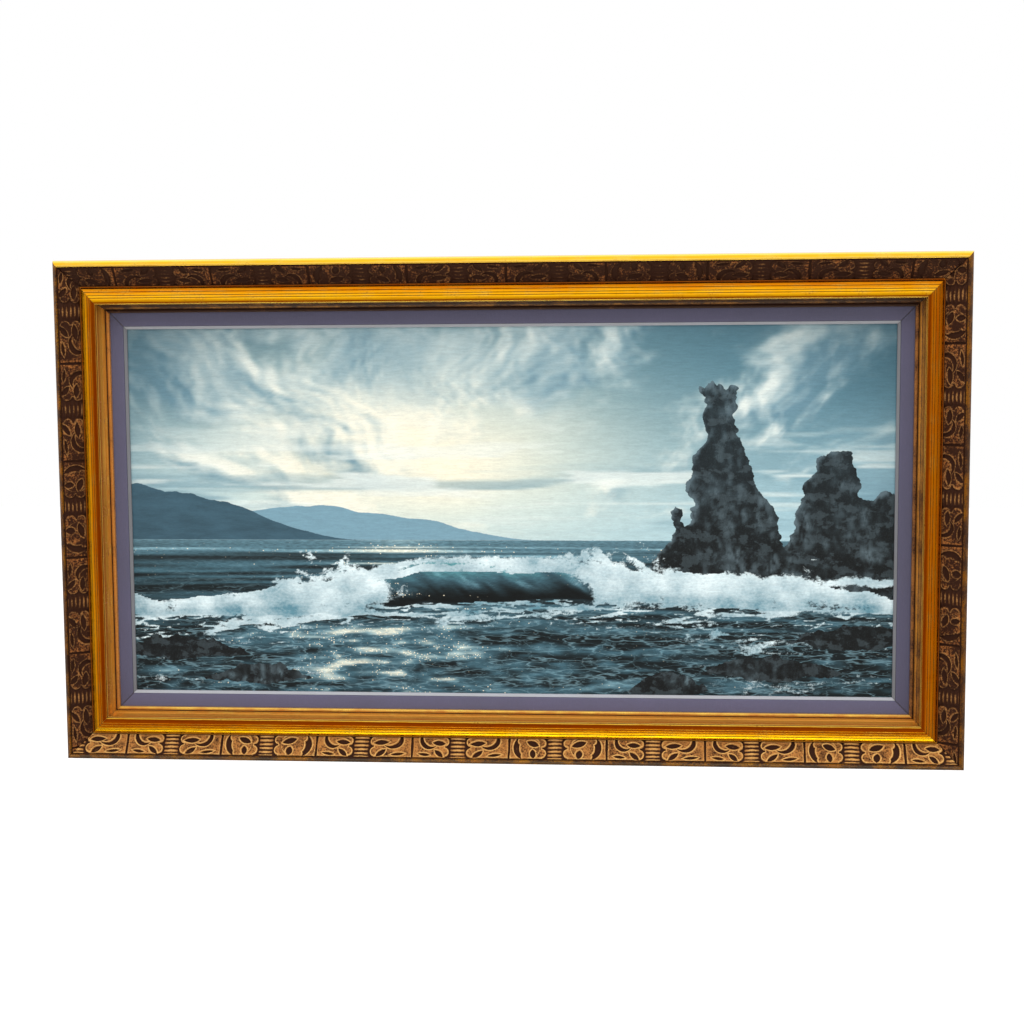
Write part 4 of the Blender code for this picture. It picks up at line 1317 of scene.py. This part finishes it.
def paint_rocks(x, z, tones):
    """Rock colours: broken faces, dark cracks, slanting beds and rims lit from the glow."""
    stacks, boulders = rock_layers(x, z)
    inside = np.maximum(stacks, boulders)
    face = fractal_noise(x * 20 + z * 7, z * 11 - x * 4, 451, 5, 0.6)
    left = x - 0.008
    higher = z + 0.004
    turned = fractal_noise(left * 20 + higher * 7, higher * 11 - left * 4, 451, 5, 0.6)
    tilt = np.clip((face - turned) * 1.3, -1.0, 1.0)
    cracks = np.abs(fractal_noise(x * 34 + 0.6 * face, z * 12, 455, 4, 0.6))
    cracks = 1 - smooth(cracks, 0.0, 0.16)
    beds = fractal_noise(x * 5 + z * 9, z * 70 + x * 14, 457, 3)
    rim = np.clip((inside - np.maximum(*rock_layers(x - 0.006, z + 0.004))) / 0.0072, 0.0, 1.0)
    rim = rim * smooth(inside, 0.012, 0.0)
    light = 0.21 + 0.40 * tilt + 0.18 * beds + 0.50 * rim * (stacks > boulders) + 0.22 * face - 0.30 * cracks
    colour = blend(tones.rock, tones.rock_light, smooth(light, 0.05, 0.85))
    haze = smooth(z, -0.12, 0.18) * (stacks > boulders)
    colour = blend(colour, tones.shore, haze * 0.16)
    wet = smooth(light, 0.35, 0.75) * (boulders > stacks)
    return blend(colour, tones.sea_light, wet * 0.35), stacks, boulders


def shore_lines(x):
    """Skylines of two low headlands on the left, the far one paler."""
    far = 0.052 * smooth(-x, -0.06, 0.24) * (0.8 + 0.35 * fractal_noise(x * 6 + 2, 0.0, 501, 5))
    near = 0.105 * smooth(-x, 0.22, 0.62) * (0.82 + 0.3 * fractal_noise(x * 7 + 5, 0.0, 502, 5, 0.52))
    return HORIZON + far, HORIZON + near


def picture_grid():
    """The canvas's points: even columns, and rows that are closest at the horizon and the surf."""
    x = np.linspace(CANVAS_LOW[0], CANVAS_HIGH[0], PICTURE_COLUMNS)
    heights = np.linspace(CANVAS_LOW[2], CANVAS_HIGH[2], 4000) - SIGHT_CENTRE[2]
    density = 1.0 + 0.8 * bell(heights, -0.11, 0.08)
    density += 5.0 * bell(heights, HORIZON, 0.003)
    spent = np.cumsum(density)
    z = np.interp(np.linspace(spent[0], spent[-1], PICTURE_ROWS), spent, heights)
    return np.meshgrid(x, z, indexing="ij")


def picture_surface(settings, materials):
    """The painted front: a thin closed sheet whose points hold the picture's layers.

    Soft passages are kept as colours for each point. What has a crisp edge is kept as a distance
    or a height, and the material cuts it at nought, so its edge is finer than the mesh.
    """
    tones = Tones(settings)
    x, z = picture_grid()
    sea, glint = paint_sea(x, z, tones)
    backdrop = np.where((z > HORIZON)[..., None], paint_sky(x, z, tones), sea)
    on_roller, face = paint_roller(x, z, tones)
    backdrop = blend(backdrop, face, smooth(on_roller, -0.0005, 0.0012))
    rock, stacks, boulders = paint_rocks(x, z, tones)
    stacks = np.minimum(stacks, -on_roller)
    far_shore, near_shore = shore_lines(x)
    foam, foam_shade = foam_layers(x, z, tones)
    daubs = 0.00014 * fractal_noise(x * 150, z * 190, tones.seed + 7, 3)
    daubs += 0.00020 * smooth(foam, -0.05, 0.3)
    daubs += 0.00010 * smooth(np.maximum(stacks, boulders), 0.0, 0.004)
    world_z = z + SIGHT_CENTRE[2]
    inside = np.minimum(np.abs(x - CANVAS_LOW[0]), np.abs(x - CANVAS_HIGH[0]))
    inside = np.minimum.reduce([inside, world_z - CANVAS_LOW[2], CANVAS_HIGH[2] - world_z])
    daubs = np.clip(daubs, -0.0001, 0.0004) * smooth(inside, 0.010, 0.016)
    front = np.stack([x, -(CANVAS_FACE - FIT_GAP / 3 + daubs), world_z], -1)
    below = front[:, [0, -1]].copy()
    below[..., 1] = -(CANVAS_FACE - CLOTH_THICKNESS)
    points, faces = closed_slab(front, below)
    piece = make_piece("painted_canvas_front", points, faces, materials, "paint", ["painted_canvas"])
    slots = np.ones(len(faces), np.int32)
    slots[:(x.shape[0] - 1) * (x.shape[1] - 1)] = 0
    piece.data.polygons.foreach_set("material_index", slots)
    shade(piece, 60.0)
    layers = {
        "glint": glint,
        "stack_edge": stacks * 1000,
        "boulder_edge": boulders * 1000,
        "far_shore": (far_shore - z) * 1000,
        "near_shore": (near_shore - z) * 1000,
        "foam": foam,
        "foam_shade": foam_shade,
        "open_water": smooth(-on_roller, 0.0, 0.004) * (z < HORIZON),
        "backdrop": to_linear(backdrop),
        "rock_paint": to_linear(rock),
    }
    for name, values in layers.items():
        store(piece, name, values)
    return piece


def picture_material(settings):
    """Oil paint on canvas: the picture's layers in order, brush marks and the weave under them."""
    graph = Surface("oil_paint")
    place = graph.place()
    jitter = graph.noise(graph.stretched(place, (1.0, 1.0, 1.3)), 260.0, 4.0, 0.65) - 0.5
    brush = graph.noise(place, (60.0, 60.0, 420.0), 4.0, 0.65)
    fine_brush = graph.noise(place, (240.0, 240.0, 900.0), 3.0, 0.6)
    level = graph.node("SeparateXYZ", "Z", {0: place})
    horizon = float(SIGHT_CENTRE[2] + HORIZON)
    under = graph.mapped(level, horizon - 0.0004, horizon + 0.0004, 1.0, 0.0)
    near = graph.mapped(level, horizon - 0.01, horizon - 0.16)
    far_ripple = graph.noise(place, (85.0, 1.0, 620.0), 3.0, 0.62)
    near_ripple = graph.noise(place, (44.0, 1.0, 210.0), 5.0, 0.66)
    ripple = graph.node("Mix", 0, {0: near, 2: far_ripple, 3: near_ripple}, data_type="FLOAT")
    ripple = graph.mapped(ripple, 0.32, 0.68, 0.66, 1.42)
    ripple = graph.node("Mix", 0, {0: under, 2: 1.0, 3: ripple}, data_type="FLOAT")
    colour = graph.shaded(graph.attribute("backdrop", "Vector"), ripple)
    open_water = graph.attribute("open_water") * near
    for along, up, strength in ((11.0, 64.0, 0.40), (30.0, 120.0, 0.20)):
        crest = abs(graph.noise(place, (along, 1.0, up)) - 0.5)
        crest = graph.mapped(crest, 0.0, 0.022, strength, 0.0) * open_water
        colour = graph.mixed(crest, colour, settings.sea_light)
    shore = np.array(settings.shore)
    paint = graph.noise(place, (18.0, 18.0, 60.0), 5.0, 0.6)
    far_land = shore * 0.66 + np.array(settings.low_sky) * 0.34
    near_land = graph.mixed(paint, shore * 0.26, shore * 0.62)
    for name, ragged, land in (("far_shore", 2.0, far_land), ("near_shore", 2.5, near_land)):
        cut = graph.mapped(graph.attribute(name) + jitter * ragged, -0.3, 0.5) * (1.0 - under)
        colour = graph.mixed(cut, colour, land)
    cells = graph.parts("TexVoronoi", {"Vector": graph.stretched(place, SPARK_CELLS), "Scale": 1.0})
    chosen = graph.node("SeparateColor", 0, {0: cells["Color"]})
    dots = graph.mapped(cells["Distance"], 0.18, 0.34, 1.0, 0.0)
    spark = graph.mapped(graph.attribute("glint") * 0.75 + chosen, 0.98, 1.08)
    colour = graph.mixed(spark * (dots * under), colour, settings.glow)
    grit = graph.mapped(graph.noise(place, 520.0, 4.0, 0.7), 0.5, 0.8, 0.0, 0.22)
    rock = graph.mixed(grit, graph.attribute("rock_paint", "Vector"), settings.rock_light)
    facets = graph.mapped(graph.noise(place, (34.0, 1.0, 52.0), 6.0, 0.6), 0.52, 0.56, 0.0, 0.26)
    rock = graph.mixed(facets, rock, settings.rock_light)
    seams = abs(graph.noise(place, (70.0, 1.0, 26.0), 5.0, 0.62) - 0.5)
    rock = graph.mixed(graph.mapped(seams, 0.0, 0.016, 0.5, 0.0), rock, settings.rock)
    stack_cut = graph.mapped(graph.attribute("stack_edge") + jitter * 4.0, -0.2, 0.5)
    colour = graph.mixed(stack_cut, colour, rock)
    foam = graph.attribute("foam")
    lace = graph.noise(place, (200.0, 200.0, 270.0), 4.0, 0.68)
    foam_share = graph.mapped(foam + graph.mapped(lace, 0.2, 0.8, -0.36, 0.36), 0.0, 0.28)
    solid = graph.mapped(foam, -0.4, 0.25, 0.35, 1.0)
    lit = graph.mapped(lace, 0.2, 0.8, -0.2, 0.2)
    lit = graph.math("ADD", graph.attribute("foam_shade"), lit, clamp=True)
    foam_colour = graph.mixed(lit, settings.foam_shade, settings.foam)
    colour = graph.mixed(foam_share * solid, colour, foam_colour)
    boulder_cut = graph.mapped(graph.attribute("boulder_edge") + jitter * 4.0, -0.2, 0.5)
    colour = graph.mixed(boulder_cut, colour, rock)
    tone = graph.mapped(brush, 0.25, 0.75, 0.88, 1.10) + graph.mapped(fine_brush, 0.25, 0.75, -0.06, 0.06)
    weave = graph.effect("Plain weave", Place=place, Threads=900.0, Slubs=0.4)
    height = weave["Height"] * 0.35 + fine_brush * 0.8 + foam_share * 0.6
    roughness = graph.mapped(brush, 0.3, 0.7, 0.42, 0.58)
    return graph.finish(
        graph.shaded(colour, tone), roughness, height, 0.00025, 0.5, [("Specular IOR Level", 0.25)]
    )


def grain_along(side):
    """How finely the wood's fibres are drawn along each axis of a rail of this side."""
    return RAIL_GRAIN if side in ("top", "bottom") else RAIL_GRAIN[::-1]


class SEASCAPE_OT_groups(bpy.types.Operator):
    """Builds the shader groups that several finishes share"""

    bl_idname = "seascape.groups"
    bl_label = "Shared effects"

    def execute(self, context):
        aged_gilding_group()
        woven_cloth_group()
        wood_grain_group()
        return {"FINISHED"}


class SEASCAPE_OT_mouldings(bpy.types.Operator):
    """Carries the gilt moulding's section along the four sides"""

    bl_idname = "seascape.mouldings"
    bl_label = "Gilt mouldings"

    def execute(self, context):
        section, front = moulding_section()
        gilt = gilt_moulding_material(context.scene.seascape_gilding)
        hollow = hollowness(section)
        hollow[front:] = 0.0
        up = section.imag - SIGHT_DEPTH
        out = section.real
        ogee_start = BAND_START - STEP_WIDTH - OGEE_WIDTH
        slope = smooth(out, BAND_START - OGEE_WIDTH * 0.75, BAND_START - OGEE_WIDTH * 0.3)
        on_crest = out > BAND_END
        on_step = np.exp(-((out - BAND_START + STEP_WIDTH / 2) / STEP_WIDTH) ** 2)
        outside = smooth(out, BAND_END + CREST_WIDTH * 1.5, FRAME_EDGE - 0.001) * smooth(-up, -0.036, -0.020)
        lips = (up < COVE_HEIGHT * 0.9) & (out < ogee_start)
        first_lip = up < LIP_HEIGHT * 1.02
        wall = smooth(up, 0.020, 0.028) * (out < ogee_start - FILLET_WIDTH * 0.6)
        hollow = np.where(lips, hollow * np.where(hollow > 0.0, 1.5, 0.8), hollow)
        clay = np.clip(on_step * 0.5 + wall * 0.5 + outside * 0.08, 0.0, 1.0)
        dull = np.where(first_lip, 1.0, np.where(up < COVE_HEIGHT, 0.7, 0.0)) * (out < ogee_start)
        is_back = (np.arange(len(section)) >= front - 1).astype(np.int32)
        for side in SIDES:
            # Painted light and shade: each side's tone on the ogee and umber-coloured wash on the crest and
            # lips
            tone = BASE_TONE + OUTER_SLOPE_LIGHT_AND_SHADE[side] * slope + INNER_SLOPE_LIGHT_AND_SHADE[side] * (1.0 - slope)
            crest_tone = CREST_TONE + 0.5 * max(CREST_LIGHT_AND_SHADE[side], 0.0)
            wash = np.where(on_crest, CREST_LIGHT_AND_SHADE[side], np.where(lips, LIP_LIGHT_AND_SHADE[side], 0.0))
            wash = wash + FIRST_LIP_UMBER * lips * first_lip
            back = wood_material("frame_wood_" + side, *FRAME_WOOD, grain_along(side))
            piece, ring = swept_rail(
                "gilt_moulding_" + side, side, section, HAND_WOBBLE, [gilt, back], "gilt",
                ["frame_" + side + "_rail"],
            )
            set_face_materials(piece, ring, len(section), is_back)
            layers = {
                "hollow": np.where(wash > 0.0, np.maximum(hollow, 0.0), hollow),
                "tone": np.where(on_crest, crest_tone, np.where(lips, LIP_TONE, tone)),
                "clay": clay,
                "dull": dull,
                "wash": wash,
            }
            for name, values in layers.items():
                store(piece, name, np.tile(values, len(piece.data.vertices) // len(section)))
            shade(piece, 42.0)
        return {"FINISHED"}


class SEASCAPE_OT_carving(bpy.types.Operator):
    """Carves the leaf panels and bars along the outer band of each side"""

    bl_idname = "seascape.carving"
    bl_label = "Carved band"

    def execute(self, context):
        settings = context.scene.seascape_gilding
        material = gilt_carving_material(settings)
        for side in SIDES:
            carved_band(side, settings, material)
        return {"FINISHED"}


class SEASCAPE_OT_liner(bpy.types.Operator):
    """Makes the flat cloth liner with its pale slip"""

    bl_idname = "seascape.liner"
    bl_label = "Liner"

    def execute(self, context):
        settings = context.scene.seascape_liner
        section, bevel_end, face_end = liner_section()
        index = np.arange(len(section))
        chosen = np.where(index < bevel_end - 3, 1, np.where(index < face_end - 1, 0, 2)).astype(np.int32)
        cloth = liner_cloth_material(settings)
        bevel = bevel_material(settings)
        for side in SIDES:
            wood = wood_material("liner_wood_" + side, settings.wood, (0.32, 0.20, 0.10), grain_along(side))
            piece, ring = swept_rail(
                "liner_slip_" + side, side, section, LINER_WOBBLE, [cloth, bevel, wood], "liner_cloth",
                ["liner_" + side + "_rail"],
            )
            set_face_materials(piece, ring, len(section), chosen)
            # Painted light and shade for each side, on the cloth and the bevel
            shades = np.where(index < bevel_end, BEVEL_SHADE[side], LINER_SHADE[side])
            store(piece, "shade", np.tile(shades, len(piece.data.vertices) // len(section)))
            shade(piece, 35.0)
        return {"FINISHED"}


class SEASCAPE_OT_picture(bpy.types.Operator):
    """Paints the canvas and folds its edges over the stretcher"""

    bl_idname = "seascape.picture"
    bl_label = "Painted canvas"

    def execute(self, context):
        settings = context.scene.seascape_picture
        raw = canvas_back_material()
        front = picture_surface(settings, [picture_material(settings), raw])
        outer = LINER_OVERLAP
        flap_end = outer - TURNOVER
        side_top = CANVAS_FACE - CLOTH_THICKNESS - FIT_GAP / 2
        flap_top = TURNOVER_BACK + CLOTH_THICKNESS
        section = np.array([
            complex(outer, side_top),
            complex(outer, TURNOVER_BACK + CLOTH_THICKNESS / 2),
            complex(outer - CLOTH_THICKNESS / 2, TURNOVER_BACK),
            complex(flap_end, TURNOVER_BACK),
            complex(flap_end, flap_top),
            complex(outer - CLOTH_THICKNESS, flap_top),
            complex(outer - CLOTH_THICKNESS, side_top),
        ])
        for side in SIDES:
            flap, _ = swept_rail("canvas_turnover_" + side, side, section, CLOTH_WOBBLE, [raw], "paint", [])
            shade(flap, 50.0)
        return {"FINISHED"}


class SEASCAPE_OT_stretcher(bpy.types.Operator):
    """Finishes the stretcher bars in pine and the framing points in steel"""

    bl_idname = "seascape.stretcher"
    bl_label = "Stretcher and points"

    def execute(self, context):
        along = wood_material("pine_lengthwise", *PINE, BAR_GRAIN)
        upright = wood_material("pine_upright", *PINE, BAR_GRAIN[::-1])
        finishes = {
            "framing_point": steel_material(),
            "stretcher_top": along,
            "stretcher_bottom": along,
            "stretcher_left": upright,
            "stretcher_right": upright,
            "stretcher_cross": upright,
        }
        for name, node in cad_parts.items():
            for start, finish in finishes.items():
                if name.startswith(start):
                    node.data.materials.clear()
                    node.data.materials.append(finish)
        return {"FINISHED"}


class SEASCAPE_OT_studio(bpy.types.Operator):
    """Sets the pale floor, the soft light and the camera"""

    bl_idname = "seascape.studio"
    bl_label = "Studio"

    def execute(self, context):
        settings = context.scene.seascape_studio
        add_floor(settings)
        add_camera(settings)
        add_world(settings)
        add_key_light(settings)
        return {"FINISHED"}


def add_floor(settings):
    """A large pale floor, which only the camera and soft light see."""
    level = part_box("frame_bottom_rail")[0].z - settings.floor_drop
    corners = [(x * FLOOR_HALF, y * FLOOR_HALF, level) for x, y in ((-1, -1), (1, -1), (1, 1), (-1, 1))]
    mesh = bpy.data.meshes.new("studio_floor")
    mesh.from_pydata(corners, [], [(0, 1, 2, 3)])
    floor = bpy.data.objects.new("studio_floor", mesh)
    bpy.context.scene.collection.objects.link(floor)
    graph = Surface("pale_floor")
    speck = graph.mapped(graph.noise(graph.place(), 3.0, 2.0), 0.3, 0.7, 0.0, 0.04)
    graph.fill(graph.shader["Base Color"], graph.mixed(speck, (0.93, 0.93, 0.93), (0.88, 0.88, 0.88)))
    graph.fill(graph.shader["Roughness"], 0.95)
    mesh.materials.append(graph.material)
    floor.visible_glossy = False


def add_camera(settings):
    """The photograph's viewpoint: a little above and to the right of the picture's middle."""
    camera = bpy.data.objects.new("camera", bpy.data.cameras.new("camera"))
    camera.data.sensor_width = 36.0
    camera.data.lens = settings.lens
    yaw, pitch, roll = (math.radians(angle) for angle in CAMERA_TURN)
    look = Vector((math.sin(yaw) * math.cos(pitch), math.cos(yaw) * math.cos(pitch), math.sin(pitch)))
    level = Vector((math.cos(yaw), -math.sin(yaw), 0.0))
    over = level.cross(look)
    right = level * math.cos(roll) + over * math.sin(roll)
    up = over * math.cos(roll) - level * math.sin(roll)
    turn = Matrix((right, up, -look)).transposed().to_4x4()
    away_x, away_y, away_z = CAMERA_PLACE
    place = Vector((away_x, away_y - SIGHT_DEPTH, away_z + SIGHT_CENTRE[2]))
    camera.matrix_world = Matrix.Translation(place) @ turn
    camera.data.clip_end = 100.0
    bpy.context.scene.collection.objects.link(camera)
    bpy.context.scene.camera = camera


def add_world(settings):
    """White behind the object, even soft light on it, and a room with lit bands to reflect.

    The room that gloss sees is dim and warm in front, with bright bands high up and below, a
    bright patch at the left and a smaller one at the right.
    """
    scene = bpy.context.scene
    scene.view_settings.view_transform = "Standard"
    world = bpy.data.worlds.new("studio")
    scene.world = world
    world.use_nodes = True
    graph = Graph(world.node_tree)
    parts = graph.parts("SeparateXYZ", {0: graph.node("TexCoord", "Generated", {})})
    height = graph.mapped(parts["Z"], -1.0, 1.0)
    room = graph.ramp(height, ROOM_BANDS)
    behind = graph.mapped(parts["Y"], 0.02, 0.30)
    low = graph.mapped(parts["Z"], 0.05, -0.15)
    room = graph.mixed(behind * low, room, (0.13, 0.07, 0.03))
    left = graph.mapped(parts["X"], -0.62, -0.98)
    right = parts["X"] - 0.72
    right = graph.mapped(right * right, 0.0, 0.05, 0.32, 0.0)
    above = graph.mapped(parts["Z"], 0.0, 0.4, 0.0, 0.45)
    patches = left * left * 0.75 + right + behind * above
    warm = graph.node("CombineColor", 0, {0: patches, 1: patches * 0.93, 2: patches * 0.75})
    room = graph.mixed(1.0, room, warm, "ADD")
    soft = [(place, tuple(settings.soft_light * part for part in colour)) for place, colour in EVEN_BANDS]
    rays = graph.parts("LightPath", {})
    seen = graph.mixed(rays["Is Glossy Ray"], graph.ramp(height, soft), room)
    seen = graph.mixed(rays["Is Camera Ray"], seen, (1.0, 1.0, 1.0))
    background = graph.tree.nodes["Background"].inputs
    graph.fill(background["Color"], seen)
    graph.fill(background["Strength"], 1.0)


def add_key_light(settings):
    """A large soft light above and in front, which shapes the carving."""
    light = bpy.data.lights.new("key", "AREA")
    light.shape = "RECTANGLE"
    light.size, light.size_y = KEY_SIZE
    light.energy = settings.key_light
    key = bpy.data.objects.new("key", light)
    place = Vector(KEY_PLACE)
    turn = (Vector(SIGHT_CENTRE) - place).to_track_quat("-Z", "Y")
    key.matrix_world = Matrix.Translation(place) @ turn.to_matrix().to_4x4()
    key.visible_glossy = False
    bpy.context.scene.collection.objects.link(key)


class SEASCAPE_PT_panel(bpy.types.Panel):
    """Lists the settings and the steps"""

    bl_idname = "SEASCAPE_PT_panel"
    bl_label = "Framed Seascape"
    bl_space_type = "VIEW_3D"
    bl_region_type = "UI"
    bl_category = "Framed Seascape"

    def draw(self, context):
        for group in ("seascape_gilding", "seascape_liner", "seascape_picture", "seascape_studio"):
            settings = getattr(context.scene, group)
            box = self.layout.box()
            for name in settings.bl_rna.properties.keys():
                if name not in ("rna_type", "name"):
                    box.prop(settings, name)
        for operator in OPERATORS:
            self.layout.operator(operator.bl_idname)


SETTINGS = {
    "seascape_gilding": GildingSettings,
    "seascape_liner": LinerSettings,
    "seascape_picture": PictureSettings,
    "seascape_studio": StudioSettings,
}
OPERATORS = (
    SEASCAPE_OT_groups,
    SEASCAPE_OT_mouldings,
    SEASCAPE_OT_carving,
    SEASCAPE_OT_liner,
    SEASCAPE_OT_picture,
    SEASCAPE_OT_stretcher,
    SEASCAPE_OT_studio,
)


def register():
    """Registers the settings, the steps and the panel."""
    for kind in (*SETTINGS.values(), *OPERATORS, SEASCAPE_PT_panel):
        bpy.utils.register_class(kind)
    for name, kind in SETTINGS.items():
        setattr(bpy.types.Scene, name, PointerProperty(type=kind))


def unregister():
    """Takes back what register did."""
    for name in SETTINGS:
        delattr(bpy.types.Scene, name)
    for kind in (SEASCAPE_PT_panel, *OPERATORS, *SETTINGS.values()):
        bpy.utils.unregister_class(kind)


def main():
    """Runs every step in order."""
    register()
    bpy.ops.seascape.groups()
    bpy.ops.seascape.mouldings()
    bpy.ops.seascape.carving()
    bpy.ops.seascape.liner()
    bpy.ops.seascape.picture()
    bpy.ops.seascape.stretcher()
    bpy.ops.seascape.studio()


if __name__ == "__main__":
    main()
